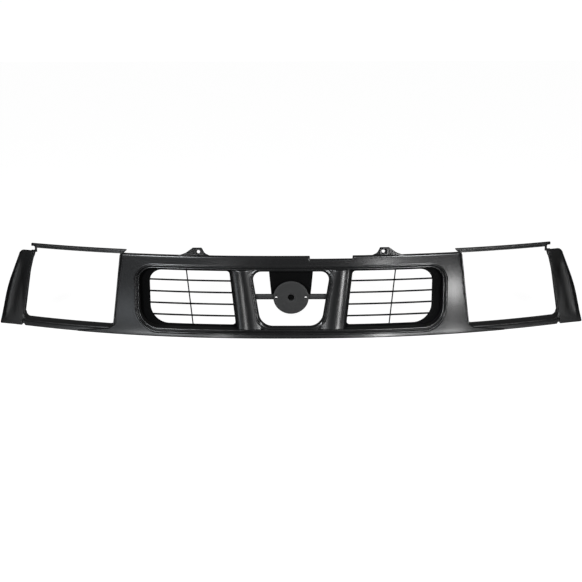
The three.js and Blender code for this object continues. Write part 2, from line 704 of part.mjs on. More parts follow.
function cornerTray() {
  const outline = prism(trayOutline, [], -50, tipSweep + 150).subtract(besideFrame);
  const inset = prism(grown(trayOutline, -wall), [], -50, tipSweep + 150)
    .subtract(prism(grown(lampOpening, 2 * wall + gap), [], -50, tipSweep + 150));
  const block = (front, back) => slab(trayFace(front), trayFace(back), trayLines, lipHeights);
  const skin = block(trayFront, trayFront + wall).intersect(outline);
  const rim = block(trayFront + joinDepth, trayRim).intersect(outline.subtract(inset));
  const bosses = trayScrews.map((s) => boss(s, trayFace(trayFront + joinDepth)(s[0], s[1])));
  return cut(join(skin, rim, trayRidge(), ...bosses), ...trayScrews.map(pilot));
}

// ---------------------------------------------------------------- screw
function screw(x, z, underHead, bite) {
  const profile = [
    [0, -bite - wall], [screwRadius, 2.5 - bite - wall], [screwRadius, 0], [headRadius, 0],
    [headRadius, headHeight * 0.6], [headRadius * 0.7, headHeight], [0, headHeight],
  ];
  const geometry = new THREE.LatheGeometry(profile.map(([r, y]) => new THREE.Vector2(r, y)), holeSides);
  return solid(geometry.translate(x, underHead, z));
}

// Its head bears on the ear that stands one gap behind the boss.
const screwBehind = ([x, z, y, bite = screwBite]) => screw(x, z, y + 2 * gap + wall, bite - 2);

// ---------------------------------------------------------------- assembly
const grille = new THREE.Group();

// A piece for the right side and its mirror image for the left.
function addPair(name, body, material, number = "") {
  const right = mesh(name + "_right" + number, body, material);
  const left = mesh(name + "_left" + number, body, material);
  left.scale.x = -1;
  grille.add(right, left);
}

grille.add(mesh("grille_shell", shell(), paint));
addPair("louvre_insert", louvreInsert(), blackPlastic);
grille.add(mesh("badge_pad", badgePad(), padPlastic));
grille.add(mesh("badge_bracket", bracket(), blackPlastic));
addPair("lamp_frame", lampFrame(), framePlastic);
addPair("corner_tray", cornerTray(), trayPlastic);
louvreScrews.forEach((place, i) => addPair("louvre_screw", screwBehind(place), zinc, "_" + (i + 1)));
lampScrews.forEach((place, i) => addPair("lamp_frame_screw", screwBehind(place), zinc, "_" + (i + 1)));
trayScrews.forEach((place, i) => addPair("tray_screw", screwBehind(place), zinc, "_" + (i + 1)));
addPair("crossbar_screw", screw(barScrew[0], padZ, barFront + wall + gap, screwBite - 1), zinc);
addPair("bracket_screw", screwBehind(bracketScrew), zinc);
addPair("pad_screw", screw(hubScrew[0], padZ, barBack + wall + 2 * gap, screwBite - 3), zinc);

// The origin is the bottom centre of the whole.
const extent = new THREE.Box3().setFromObject(grille);
const middle = extent.getCenter(new THREE.Vector3());
grille.position.set(-middle.x, -middle.y, -extent.min.z);

export default grille;
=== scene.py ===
"""Looks of the swept front grille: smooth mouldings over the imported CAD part, materials and a studio.

Lengths are in millimetres in the part's own frame (Y 0 at the foremost point of the lower lip) until a piece
is made, where they become metres in the row frame.
"""

import math

import bmesh
import bpy
import numpy as np
from mathutils import Matrix, Vector
from mathutils.geometry import delaunay_2d_cdt


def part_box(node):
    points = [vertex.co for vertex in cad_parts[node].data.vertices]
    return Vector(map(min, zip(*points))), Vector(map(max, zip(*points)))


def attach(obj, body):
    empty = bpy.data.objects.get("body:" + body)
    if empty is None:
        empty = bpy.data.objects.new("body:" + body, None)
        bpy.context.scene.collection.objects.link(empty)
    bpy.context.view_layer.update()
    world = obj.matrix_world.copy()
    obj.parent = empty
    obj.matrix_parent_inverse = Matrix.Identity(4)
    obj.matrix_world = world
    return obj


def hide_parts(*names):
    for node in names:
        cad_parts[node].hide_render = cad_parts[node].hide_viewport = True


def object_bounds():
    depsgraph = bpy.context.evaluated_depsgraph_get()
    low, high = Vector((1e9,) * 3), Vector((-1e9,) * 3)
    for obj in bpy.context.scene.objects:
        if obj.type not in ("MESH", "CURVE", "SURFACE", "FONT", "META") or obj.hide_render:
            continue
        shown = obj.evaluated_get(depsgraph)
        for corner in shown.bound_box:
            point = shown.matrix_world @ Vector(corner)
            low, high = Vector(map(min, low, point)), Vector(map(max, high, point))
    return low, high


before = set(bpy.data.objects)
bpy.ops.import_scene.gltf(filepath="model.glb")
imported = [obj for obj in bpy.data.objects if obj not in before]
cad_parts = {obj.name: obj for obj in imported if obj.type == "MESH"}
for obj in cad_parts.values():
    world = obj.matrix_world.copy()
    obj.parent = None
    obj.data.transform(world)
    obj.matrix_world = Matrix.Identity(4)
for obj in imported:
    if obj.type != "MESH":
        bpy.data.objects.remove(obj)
cad_box = [list(corner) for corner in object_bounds()]
LOW, HIGH = np.array(cad_box[0]), np.array(cad_box[1])

# ---------------------------------------- dimensions, as in the part
# Height, sweep to the tips, lean of the face and flare of the lip.
BODY_H = 204
TIP_SWEEP = 150
SWEEP_POWER = 2.25
TOP_LEAN = 9
LIP_FLARE = 7
FLARE_H = 28
# The recess across the middle and the side panels.
TRACK_HALF = 382
SIDE_W = 35
LAMP_SLOPE = 0.128
# Widths of the headlamp openings and the trays, at the top and at the foot.
LAMP_TOP_W = 222
LAMP_BOTTOM_W = 239
TRAY_TOP_W = 36
TRAY_BOTTOM_W = 60.5
# Heights and corners. The recess's lower corners are rounder here than in the part.
LIP_H = 14
TRACK_CORNER = 42
TRACK_LOW_CORNER = 54
LEDGE_H = 15
LAMP_H = 183
TRAY_H = 193
TRAY_BULGE = 9
# The bar over each headlamp opening, then the wall and the gaps between parts.
BAR_H = 10
BAR_OVERHANG = 14
WALL = 3
GAP = 0.3
REVEAL = 4
# Depths behind the front surface.
RETURN_D = 34
FLANGE_D = 24
LOWER_FLANGE_D = 22
RECESS_STEP = 6
FRAME_BACK = 44
OUTER_BACK = 34
BAR_FRONT = 38
TRAY_SEAT_D = 30
# The tray's face and rim, and the ledge round the recess.
TRAY_FRONT = 4
TRAY_RIM = 14
TRAY_FORWARD = 8
STEP_W = 7
STEP_D = 4
# The posts, from the middle to their outer edge, and the opening between them.
POST_TOP = 149
POST_BOTTOM = 132
POST_CROWN = 8
CENTRE_TOP_HALF = 96
CENTRE_BOTTOM_HALF = 74
CENTRE_WALL_D = 28
# The louvre inserts.
SLATS = 4
SLAT_T = 3
SLAT_FRONT = 36
SLAT_D = 8
RIB_T = 2.5
# The badge pad, its holes and socket.
PAD_A = 43.5
PAD_B = 41.5
PAD_D = 24
PAD_HOLE_X = 36.25
PAD_HOLE_R = 3
PEG_ROOM = 3.5
SOCKET_R = 7.5
HUB_R = 31
# The pad's crossbar and the bracket behind it.
CROSS_FRONT = 30.3
CROSS_BACK = 38
CROSS_H = 13
SPIGOT_R = 5
BRACKET_TOP_W = 112
BRACKET_BOTTOM_W = 96
BRACKET_D = 47
# The notch and the tabs on the top edge.
NOTCH_FROM = 46
NOTCH_TO = 150
NOTCH_D = 7.5
TAB_X = 229
TAB_TOP_W = 22
TAB_BASE_W = 80
TAB_RISE = 19
TAB_HOLE_R = 4
TAB_HOOD = 8

TRACK_LOW = LIP_H
TRACK_TOP = BODY_H - 28
LAMP_TOP = LEDGE_H + LAMP_H
LOUVRE_LOW = TRACK_LOW + 10
LOUVRE_TOP = TRACK_TOP - 14
CENTRE_LOW = TRACK_LOW + 12
CENTRE_TOP = TRACK_TOP - 12
PAD_Z = (CENTRE_LOW + CENTRE_TOP) / 2 + 3.5


def lamp_edge(z):
    return TRACK_HALF + SIDE_W + (BODY_H - z) * LAMP_SLOPE


def lamp_inner(z):
    return lamp_edge(z) + REVEAL


LAMP_OUTER_TOP = lamp_inner(LAMP_TOP) + LAMP_TOP_W
LAMP_OUTER_LOW = lamp_inner(LEDGE_H) + LAMP_BOTTOM_W
HALF = LAMP_OUTER_LOW + WALL + GAP + TRAY_BOTTOM_W


def lamp_outer(z):
    return LAMP_OUTER_LOW + (LAMP_OUTER_TOP - LAMP_OUTER_LOW) * (z - LEDGE_H) / LAMP_H


def post_edge(z):
    return POST_BOTTOM + (POST_TOP - POST_BOTTOM) * (z - TRACK_LOW) / (TRACK_TOP - TRACK_LOW)


def blend(low, high, value):
    t = np.clip((value - low) / (high - low), 0, 1)
    return t * t * (3 - 2 * t)


def sweep(x):
    return TIP_SWEEP * (np.abs(x) / HALF) ** SWEEP_POWER


def swept(x):
    return float(sweep(x))


def seat_depth(x, behind):
    """Depth of a flat screw seat, taken at the side of its boss that is nearer the middle."""
    return swept(x - 7) + behind


def face(extra):
    """The front surface, moved back by extra."""
    return lambda x, z: sweep(x) + LIP_FLARE * (1 - np.exp(-z / FLARE_H)) + TOP_LEAN * z / BODY_H + extra


def depth(d):
    return lambda x, z: sweep(x) + d + 0 * z


def flat(d):
    return lambda x, z: d + 0 * x


# ---------------------------------------- outlines
# The room for rounding where no corner limits it.
FREE = 99


class Outline:
    """A closed anticlockwise outline in X and Z, with an outward normal and rounding room at each point."""

    def __init__(self, points, room):
        self.points = np.array(points, float)
        along = np.roll(self.points, -1, 0) - self.points
        length = np.hypot(*along.T)
        ahead = np.stack([along[:, 1], -along[:, 0]], 1) / length[:, None]
        behind = np.roll(ahead, 1, 0)
        middle = ahead + behind
        middle /= np.hypot(*middle.T)[:, None]
        self.normals = middle / np.maximum((middle * ahead).sum(1), 0.3)[:, None]
        self.room = np.array(room, float)
        for _ in range(2):
            for i in range(len(length)):
                self.room[i] = min(self.room[i], self.room[i - 1] + 0.8 * length[i - 1])
            for i in range(len(length) - 1, -1, -1):
                after = (i + 1) % len(length)
                self.room[i] = min(self.room[i], self.room[after] + 0.8 * length[i])

    def moved(self, distance):
        return self.points + self.normals * np.reshape(distance, (-1, 1))


def rounded(corners, step=4.0, sag=0.02):
    """Points and rounding room along corners [x, z, radius]. Edges are split to the step."""
    count = len(corners)
    points, room = [], []
    for i, (x, z, radius) in enumerate(corners):
        here = Vector((x, z))
        back = (Vector(corners[i - 1][:2]) - here).normalized()
        on = (Vector(corners[(i + 1) % count][:2]) - here).normalized()
        half = math.acos(max(-1, min(1, back.dot(on)))) / 2
        if half > 1.5705:
            points.append((x, z))
            room.append(FREE)
            continue
        centre = here + (back + on).normalized() * radius / math.sin(half)
        start = here + back * radius / math.tan(half) - centre
        end = here + on * radius / math.tan(half) - centre
        turn = math.atan2(start.x * end.y - start.y * end.x, start.dot(end))
        by_sag = abs(turn) / (2 * math.acos(1 - sag / radius))
        by_step = abs(turn) * radius / step
        pieces = max(3, math.ceil(by_sag), math.ceil(by_step))
        for k in range(pieces + 1):
            point = centre + Matrix.Rotation(turn * k / pieces, 2) @ start
            points.append(tuple(point))
            room.append(radius if turn > 0 else FREE)
    out, space = [], []
    for i, (x, z) in enumerate(points):
        nx, nz = points[(i + 1) % len(points)]
        parts = max(1, math.ceil(math.hypot(nx - x, nz - z) / step))
        for k in range(parts):
            out.append((x + (nx - x) * k / parts, z + (nz - z) * k / parts))
            space.append(room[i] if k == 0 else FREE)
    return out, space


def outline(corners, step=4.0, sag=0.02):
    return Outline(*rounded(corners, step, sag))


def ellipse(cx, cz, a, b, count):
    turn = [2 * math.pi * i / count for i in range(count)]
    return Outline([(cx + a * math.cos(t), cz + b * math.sin(t)) for t in turn], [min(a, b)] * count)


def both_halves(corners):
    return corners + [[-x, z, r] for x, z, r in reversed(corners)]


# ---------------------------------------- mesh making
class Body:
    """Vertices and faces of one or more closed bodies, in millimetres."""

    def __init__(self):
        self.verts, self.faces = [], []

    def add(self, points):
        start = len(self.verts)
        self.verts.extend(map(tuple, points))
        return np.arange(start, len(self.verts))

    def strip(self, a, b):
        """Faces between two rings of as many points."""
        for i in range(len(a)):
            j = (i + 1) % len(a)
            self.faces.append((int(a[i]), int(a[j]), int(b[j]), int(b[i])))

    def take(self, *others):
        for other in others:
            start = len(self.verts)
            self.verts.extend(other.verts)
            self.faces.extend(tuple(i + start for i in f) for f in other.faces)
        return self

    def mirrored(self):
        other = Body()
        other.verts = [(-x, y, z) for x, y, z in self.verts]
        other.faces = [tuple(reversed(f)) for f in self.faces]
        return other


def inside(points, polygon):
    """Which of the points lie inside the polygon."""
    x, z = points[:, 0:1], points[:, 1:2]
    ax, az = polygon[:, 0], polygon[:, 1]
    bx, bz = np.roll(ax, -1), np.roll(az, -1)
    spans = (az > z) != (bz > z)
    rise = np.where(bz == az, 1e-9, bz - az)
    return (spans & (x < (bx - ax) * (z - az) / rise + ax)).sum(1) % 2 == 1


def fill(body, rings, surface, grid):
    """Triangles between the first ring and the others, over a grid of points that lie on the surface."""
    loops = [np.array([body.verts[i] for i in ring])[:, [0, 2]] for ring in rings]
    edge = np.concatenate(loops)
    low, high = loops[0].min(0), loops[0].max(0)
    xs = np.arange(math.floor(low[0] / grid) * grid, high[0], grid)
    zs = np.arange(math.floor(low[1] / grid) * grid, high[1], grid)
    spots = np.stack(np.meshgrid(xs, zs), -1).reshape(-1, 2)
    keep = inside(spots, loops[0])
    for hole in loops[1:]:
        keep &= ~inside(spots, hole)
    spots = spots[keep]
    if len(spots):
        near = np.array([((edge - s) ** 2).sum(1).min() for s in spots])
        spots = spots[near > (0.55 * grid) ** 2]
    ids = list(np.concatenate(rings))
    if len(spots):
        ids += list(body.add(np.column_stack([spots[:, 0], surface(spots[:, 0], spots[:, 1]), spots[:, 1]])))
    lines, start = [], 0
    for loop in loops:
        lines += [(start + i, start + (i + 1) % len(loop)) for i in range(len(loop))]
        start += len(loop)
    points = np.concatenate([edge, spots]) if len(spots) else edge
    made, _, faces, origin, _, _ = delaunay_2d_cdt([Vector(p) for p in points], lines, [], 0, 1e-5)
    where = []
    for vertex, from_ in zip(made, origin):
        if from_:
            where.append(int(ids[from_[0]]))
        else:
            x, z = np.array([vertex.x]), np.array([vertex.y])
            where.append(int(body.add([(vertex.x, float(surface(x, z)[0]), vertex.y)])[0]))
    spots = np.array([tuple(v) for v in made])
    faces = np.array([f for f in faces if len(f) == 3])
    middles = spots[faces].mean(1)
    keep = inside(middles, loops[0])
    for hole in loops[1:]:
        keep &= ~inside(middles, hole)
    body.faces.extend(tuple(where[i] for i in f) for f in faces[keep])


def moulding(outer, edge, holes=(), front=face(0), back=face(WALL), grid=4.0):
    """A closed body with a smooth front and back. edge runs from front to back as (inset, y) pairs.

    An inset counts into the material, and may be a function of the outline's own points. y is a function
    of x and z. A hole is an outline with its own edge, where insets below 0 go into the hole.
    """
    body = Body()

    def loft(loop, profile, way):
        rings = []
        for inset, y in profile:
            bx, bz = loop.points.T
            d = np.array(inset(bx, bz, loop) if callable(inset) else inset) + 0 * bx
            d = np.where(d * -way > 0, np.sign(d) * np.minimum(np.abs(d), loop.room * 0.93), d)
            x, z = loop.moved(d * way).T
            rings.append(body.add(np.column_stack([x, y(x, z), z])))
        for a, b in zip(rings, rings[1:]):
            body.strip(a, b)
        return rings[0], rings[-1]

    ends = [loft(outer, edge, -1)] + [loft(loop, profile, 1) for loop, profile in holes]
    fill(body, [e[0] for e in ends], front, grid)
    fill(body, [e[1] for e in ends], back, grid)
    return body


def rolled(radius, surface, pieces=6):
    """A rounded edge from the surface down to the outline: the start of an edge profile."""
    def size(x, z):
        return radius(x, z) if callable(radius) else radius

    def inset(share):
        return lambda x, z, loop: share * size(x, z)

    def drop(share):
        return lambda x, z: surface(x, z) + share * size(x, z)

    turns = [math.pi / 2 * k / pieces for k in range(pieces + 1)]
    return [(inset(1 - math.sin(t)), drop(1 - math.cos(t))) for t in turns]


def plate(loop, front, back, radius=0.6, holes=(), grid=6.0):
    """A plain plate between two surfaces, with lightly rounded edges all round."""
    def offset(surface, extra):
        return lambda x, z: surface(x, z) + extra

    def profile(r):
        return rolled(r, front, 3) + [(0, offset(back, -r)), (0.29 * r, offset(back, -0.29 * r)), (r, back)]

    bores = [(hole, profile(min(radius, 0.5))) for hole in holes]
    return moulding(loop, profile(radius), bores, front, back, grid)


def lathe(rings, x, z, count=24):
    """A turned body along Y at x, z from (radius, y) pairs. Either may be a list, one value for each side."""
    body = Body()
    turn = 2 * np.pi * np.arange(count) / count
    made = []
    for radius, y in rings:
        r = np.array(radius) + 0 * turn
        made.append(body.add(np.column_stack([x + r * np.cos(turn), y + 0 * turn, z + r * np.sin(turn)])))
    for a, b in zip(made, made[1:]):
        body.strip(a, b)
    for ring in (made[0], made[-1]):
        body.faces.append(tuple(int(i) for i in ring))
    return body


def extruded(sections):
    """A closed body through equal closed sections of 3-D points."""
    body = Body()
    made = [body.add(s) for s in sections]
    for a, b in zip(made, made[1:]):
        body.strip(a, b)
    body.faces.append(tuple(int(i) for i in made[0]))
    body.faces.append(tuple(int(i) for i in made[-1]))
    return body


def softened(section, radius, pieces=3):
    """A section's corners [u, v], each rounded by the same radius."""
    count = len(section)
    points = []
    for i in range(count):
        here = Vector(section[i])
        back, on = Vector(section[i - 1]) - here, Vector(section[(i + 1) % count]) - here
        r = min(radius, 0.45 * back.length, 0.45 * on.length)
        a, b = here + back.normalized() * r, here + on.normalized() * r
        for k in range(pieces + 1):
            t = k / pieces
            points.append(tuple(a.lerp(here, t).lerp(here.lerp(b, t), t)))
    return points


def along_x(section, x0, x1, depth_of, radius=0.8, step=8.0):
    """A bar along X. Its section is [y, z] corners, and it follows the sweep."""
    points = softened(section, radius)
    count = max(2, math.ceil((x1 - x0) / step) + 1)
    return extruded([[(x, depth_of(x) + y, z) for y, z in points] for x in np.linspace(x0, x1, count)])


def along_line(x0, z0, x1, z1, thick, front, back, radius=0.8, step=8.0):
    """A thin upright wall from (x0, z0) to (x1, z1), between two depths that follow the surfaces given."""
    count = max(2, math.ceil(math.hypot(x1 - x0, z1 - z0) / step) + 1)
    sections = []
    for t in np.linspace(0, 1, count):
        x, z = x0 + (x1 - x0) * t, z0 + (z1 - z0) * t
        y0, y1 = float(front(x, z)), float(back(x, z))
        corners = softened([[-thick / 2, y0], [thick / 2, y0], [thick / 2, y1], [-thick / 2, y1]], radius)
        sections.append([(x + u, y, z) for u, y in corners])
    return extruded(sections)


def piece(name, body, material, replaced, slot_name, sharp=38):
    """Makes the object, in metres in the row frame, and puts it on the frame in place of its CAD nodes."""
    data = bpy.data.meshes.new(name)
    places = np.array(body.verts) / 1000
    places[:, 1] += LOW[1]
    places = np.clip(places, LOW, HIGH)
    data.from_pydata([tuple(p) for p in places], [], body.faces)
    work = bmesh.new()
    work.from_mesh(data)
    bmesh.ops.dissolve_degenerate(work, dist=1e-6, edges=work.edges)
    bmesh.ops.recalc_face_normals(work, faces=work.faces)
    work.to_mesh(data)
    work.free()
    data.shade_smooth()
    data.set_sharp_from_angle(angle=math.radians(sharp))
    obj = bpy.data.objects.new(name, data)
    bpy.context.scene.collection.objects.link(obj)
    data.materials.append(material)
    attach(obj, "root")
    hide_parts(*replaced)
    return obj


# ---------------------------------------- outlines of the pieces
track = outline([
    [-TRACK_HALF, TRACK_LOW, TRACK_LOW_CORNER], [TRACK_HALF, TRACK_LOW, TRACK_LOW_CORNER],
    [TRACK_HALF, TRACK_TOP, TRACK_CORNER], [-TRACK_HALF, TRACK_TOP, TRACK_CORNER],
])
centre_opening = outline(both_halves([
    [CENTRE_BOTTOM_HALF, CENTRE_LOW, 34], [CENTRE_TOP_HALF, CENTRE_TOP, 20],
]), 3.0)
louvre_opening = outline([
    [post_edge(LOUVRE_LOW) + 4, LOUVRE_LOW, 8], [TRACK_HALF - 32, LOUVRE_LOW, 46],
    [TRACK_HALF - 32, LOUVRE_TOP, 32], [post_edge(LOUVRE_TOP) + 4, LOUVRE_TOP, 8],
])
lamp_corners = [
    [lamp_inner(LEDGE_H), LEDGE_H, 10], [LAMP_OUTER_LOW, LEDGE_H, 11],
    [lamp_outer(LAMP_TOP - 58) + 4, LAMP_TOP - 58, 250], [LAMP_OUTER_TOP, LAMP_TOP, 4],
    [lamp_inner(LAMP_TOP), LAMP_TOP, 3],
]
lamp_opening = outline(lamp_corners)


# ---------------------------------------- shell
# The thin tail under each headlamp.
TAIL_START = 441
TAIL_LENGTH = 95
TAIL_BEND = 14
TAIL_TIP_H = 4
TAIL_ROOT_H = LIP_H - 1
TAIL = lamp_edge(LEDGE_H) + TAIL_LENGTH


def shell_outline():
    """The skin's outline: a notch in the top edge on one side, and a thin tail under each headlamp."""
    right = [
        [TAIL, 0, 0.8], [TAIL, TAIL_TIP_H, 1], [lamp_edge(LEDGE_H) + TAIL_BEND, TAIL_ROOT_H, 30],
        [lamp_edge(LEDGE_H + 9), LEDGE_H + 9, 8], [lamp_edge(BODY_H), BODY_H, 4],
    ]
    notch = BODY_H - NOTCH_D
    top = [
        [NOTCH_TO, BODY_H, 1.6], [NOTCH_TO, notch, 1.5], [NOTCH_FROM, notch, 1.5], [NOTCH_FROM, BODY_H, 1.6],
    ]
    points, room = rounded(right + top + [[-x, z, r] for x, z, r in reversed(right)])
    x, z = np.abs(np.array(points).T)
    height = TAIL_TIP_H + (TAIL_ROOT_H - TAIL_TIP_H) * (TAIL - x) / (TAIL_LENGTH - TAIL_BEND)
    on_tail = (x > TAIL_START) & (z < LIP_H + 0.5)
    return Outline(points, np.minimum(room, np.where(on_tail, 0.42 * height, FREE)))


def shell_skin():
    """The painted skin, with its raised rim round the recess and a narrow ledge inside it."""
    def roll(x, z):
        return 1.8 + 2.6 * blend(150, 190, z) + 1.4 * blend(20, 0, z)

    def rear(x, z):
        top = blend(188, 195, z) * blend(408, 402, np.abs(x))
        foot = blend(12, 6, z) * blend(445, 434, np.abs(x))
        side = face(9)(x, z)
        return side + top * (depth(FLANGE_D)(x, z) - side) + foot * (depth(LOWER_FLANGE_D)(x, z) - side)

    edge = rolled(roll, face(0)) + [
        (0, rear), (0.6, lambda x, z: rear(x, z) + 0.3), (WALL, rear), (WALL, face(WALL)),
    ]
    bead = [
        (6.5, 0), (4.6, 0), (3.9, -0.25), (3.4, -0.9), (2.8, -1.55), (2.0, -1.9), (1.2, -1.8), (0.5, -1.2),
        (0.1, -0.4), (0, 0.6),
    ]
    ledge = [
        (0, STEP_D - 0.6), (-0.4, STEP_D + 0.4), (-1.2, STEP_D + 0.8), (-2.2, STEP_D + 0.4),
        (-3, STEP_D - 0.4), (-3.8, STEP_D - 1.1), (-4.8, STEP_D - 1.4), (-5.8, STEP_D - 1.1),
        (0.5 - STEP_W, STEP_D - 0.3), (0.1 - STEP_W, STEP_D + 0.7), (-STEP_W, STEP_D + 1.8),
        (-STEP_W, 12), (-STEP_W, 20),
    ]
    inner = WALL - STEP_W
    walls = [(-STEP_W, depth(RETURN_D - 0.5)), (0.5 - STEP_W, depth(RETURN_D)), (inner, depth(RETURN_D)),
             (inner, face(8.5)), (inner + 1, face(7.2)), (WALL, face(7.2)), (WALL, face(WALL))]
    return moulding(shell_outline(), edge, [(track, [(d, face(y)) for d, y in bead + ledge] + walls)])


def centre_front(extra):
    """The centre panel, crowned across each post."""
    def surface(x, z):
        share = (CENTRE_TOP - z) / (CENTRE_TOP - CENTRE_LOW)
        inner = CENTRE_TOP_HALF - (CENTRE_TOP_HALF - CENTRE_BOTTOM_HALF) * share
        middle = (post_edge(z) + inner) / 2
        across = np.clip((np.abs(x) - middle) / (middle - inner), -1.5, 1.5)
        crown = np.where(np.abs(across) < 1, 1 - across ** 2, 0)
        return face(RECESS_STEP)(x, z) - POST_CROWN * crown + extra
    return surface


def centre_panel():
    low, high = TRACK_LOW + STEP_W - 1.8, TRACK_TOP - STEP_W + 1.8
    shape = outline(both_halves([[post_edge(low), low, 6], [post_edge(high), high, 6]]), 3.0)

    def side(loop):
        return blend(0.4, 0.95, np.abs(loop.normals[:, 0]))

    edge = []
    for k in range(8):
        t = math.pi / 2 * k / 7
        edge.append((
            lambda bx, bz, loop, s=1 - math.sin(t): s * (3.5 + 4.5 * side(loop)),
            lambda x, z, s=1 - math.cos(t): centre_front(0)(x, z) + s * 6,
        ))

    def rear(x, z):
        beside = blend(6, 2, post_edge(z) - np.abs(x))
        shallow = face(RECESS_STEP + 6)(x, z)
        return shallow + beside * (depth(RETURN_D)(x, z) - shallow)

    edge += [(0, rear), (WALL, rear), (WALL, centre_front(WALL + 3))]
    rim = [(9.5, 0), (8.4, -0.3), (7.6, -0.9), (6.7, -1.1), (5.9, -0.7), (5.4, 0.1), (5, 0.5)]
    lining = [(d, centre_front(y)) for d, y in rim]
    for k in range(1, 7):
        t = math.pi / 2 * k / 6
        lining.append((5 * (1 - math.sin(t)), centre_front(0.5 + 5 * (1 - math.cos(t)))))
    lining += [(0, depth(CENTRE_WALL_D - 0.5)), (0.5, depth(CENTRE_WALL_D)), (WALL, depth(CENTRE_WALL_D)),
               (WALL, centre_front(WALL + 2))]
    return moulding(shape, edge, [(centre_opening, lining)], centre_front(0), centre_front(WALL + 2), 1.6)


def top_tab():
    """The tab on the top edge, with a hood and a cheek round its hole."""
    rear = swept(TAB_X) + FLANGE_D
    hood_front = flat(rear - WALL - TAB_HOOD)
    left, foot, top = TAB_X - 12, BODY_H - WALL, BODY_H + TAB_RISE
    shape = outline([
        [left - 24, foot, 1], [left + TAB_BASE_W - 15, foot, 1], [left + TAB_TOP_W + 18, foot + 9, 30],
        [left + TAB_TOP_W, top, 3], [left, top, 3], [left - 7, foot + 8, 14],
    ], 2.0)
    hole = ellipse(TAB_X - 4, BODY_H + 9, TAB_HOLE_R, TAB_HOLE_R, 32)
    body = plate(shape, flat(rear - WALL), flat(rear), 0.9, [hole], 3.0)
    hood = outline([[left + 1, top - 2.6, 1], [left + TAB_TOP_W - 1, top - 2.6, 1],
                    [left + TAB_TOP_W - 1, top - 0.05, 1], [left + 1, top - 0.05, 1]], 2.0)
    cheek = outline([
        [left + 14, foot + 6, 1], [left + 20, foot + 6, 1], [left + 20, top - 1, 1], [left + 14, top - 1, 1],
    ])
    return body.take(*[plate(shape, hood_front, flat(rear - 1), 0.8, grid=3.0) for shape in (hood, cheek)])


def boss(x, z, skin, end, radius=5.5):
    """A tapered screw boss with a pilot hole in its end. Its foot lies just under the skin's front."""
    turn = 2 * np.pi * np.arange(24) / 24

    def under(r, extra):
        return np.maximum(skin(x + r * np.cos(turn), z + r * np.sin(turn)) + extra, 0)

    wide = radius + 1.2
    return lathe([(0.05, float(skin(np.array([x]), np.array([z]))[0]) + 2), (wide, under(wide, 2)),
                  (radius + 0.3, under(radius, 4.5)), (radius, end - 0.5), (radius - 0.5, end),
                  (2.2, end), (1.9, end - 0.4), (1.9, end - 8)], x, z)


def screws(kind, count):
    return [f"{kind}_screw_right_{i}" for i in range(1, count + 1)]


def centre_of(node):
    """The middle of a CAD node in X and Z, in millimetres."""
    low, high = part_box(node)
    return (low.x + high.x) * 500, (low.z + high.z) * 500


def shell():
    half = Body().take(top_tab())
    for x in (150, 330):
        left, right = x - 12, x + 12
        tongue = outline([[left, 0.1, 0.9], [right, 0.1, 0.9], [right, WALL, 0.9], [left, WALL, 0.9]], 3.0)
        start = swept(left) + LOWER_FLANGE_D - 4
        half.take(plate(tongue, flat(start), flat(start + 20), 0.8, grid=3.0))
    for name in screws("louvre", 5) + screws("lamp_frame", 3):
        x, z = centre_of(name)
        half.take(boss(x, z, face(0.5), seat_depth(x, RETURN_D)))
    x, z = centre_of("bracket_screw_right")
    half.take(boss(x, z, face(0.5), BRACKET_D - GAP))
    x, z = centre_of("crossbar_screw_right")
    half.take(boss(x, z, centre_front(0.5), CROSS_FRONT - GAP))
    return Body().take(shell_skin(), centre_panel(), half, half.mirrored())


# ---------------------------------------- louvre insert, right hand
def louvre_insert():
    outer = outline([
        [post_edge(TRACK_LOW) - 8, TRACK_LOW - 4, 6], [TRACK_HALF + 6, TRACK_LOW - 4, TRACK_CORNER + 6],
        [TRACK_HALF + 6, TRACK_TOP + 6, TRACK_CORNER + 6], [post_edge(TRACK_TOP) - 8, TRACK_TOP + 6, 6],
    ])
    start = RETURN_D + GAP
    back = SLAT_FRONT + SLAT_D
    rim = [(0.6, start), (0.15, start + 0.2), (0, start + 0.7), (0, start + 2.6), (0.5, start + WALL)]
    inner_rim = [
        (1.8, start), (0.9, start + 0.25), (0.25, start + 0.8), (0, start + 1.6), (0, back - 0.6),
        (0.6, back), (2.4, back), (WALL, back - 0.6), (WALL, start + WALL),
    ]
    edge, lining = ([(d, depth(y)) for d, y in run] for run in (rim, inner_rim))
    body = moulding(outer, edge, [(louvre_opening, lining)], depth(start), depth(start + WALL), 8.0)

    def slat_end(z):
        """Where a slat at this height meets the opening's outer side."""
        loop = louvre_opening.points
        near = loop[(np.abs(loop[:, 1] - z) < 3) & (loop[:, 0] > 260)]
        return near[:, 0].max() + 1.5

    pitch = (LOUVRE_TOP - LOUVRE_LOW) / (SLATS + 0.63)
    for i in range(SLATS):
        z = LOUVRE_TOP - pitch * (i + 0.866)
        nose = [[SLAT_FRONT, z - 1.3], [SLAT_FRONT + 2.5, z - SLAT_T / 2], [back, z - SLAT_T / 2 + 0.3],
                [back, z + SLAT_T / 2 - 0.3], [SLAT_FRONT + 2.5, z + SLAT_T / 2], [SLAT_FRONT, z + 1.3]]
        body.take(along_x(nose, post_edge(z) + 2.5, slat_end(z), swept, 0.7))
    rib_top, rib_low = (POST_TOP + TRACK_HALF) / 2 - 8, (POST_BOTTOM + TRACK_HALF) / 2 - 13
    body.take(along_line(rib_low, LOUVRE_LOW - 1, rib_top, LOUVRE_TOP + 1, RIB_T, depth(SLAT_FRONT + 0.3),
                         depth(back - 0.3), 0.7, 4.0))
    for name in screws("louvre", 5):
        x, z = centre_of(name)
        body.take(ear(x, z, seat_depth(x, RETURN_D) + GAP))
    return body


EAR_HOLE_R = 2.2


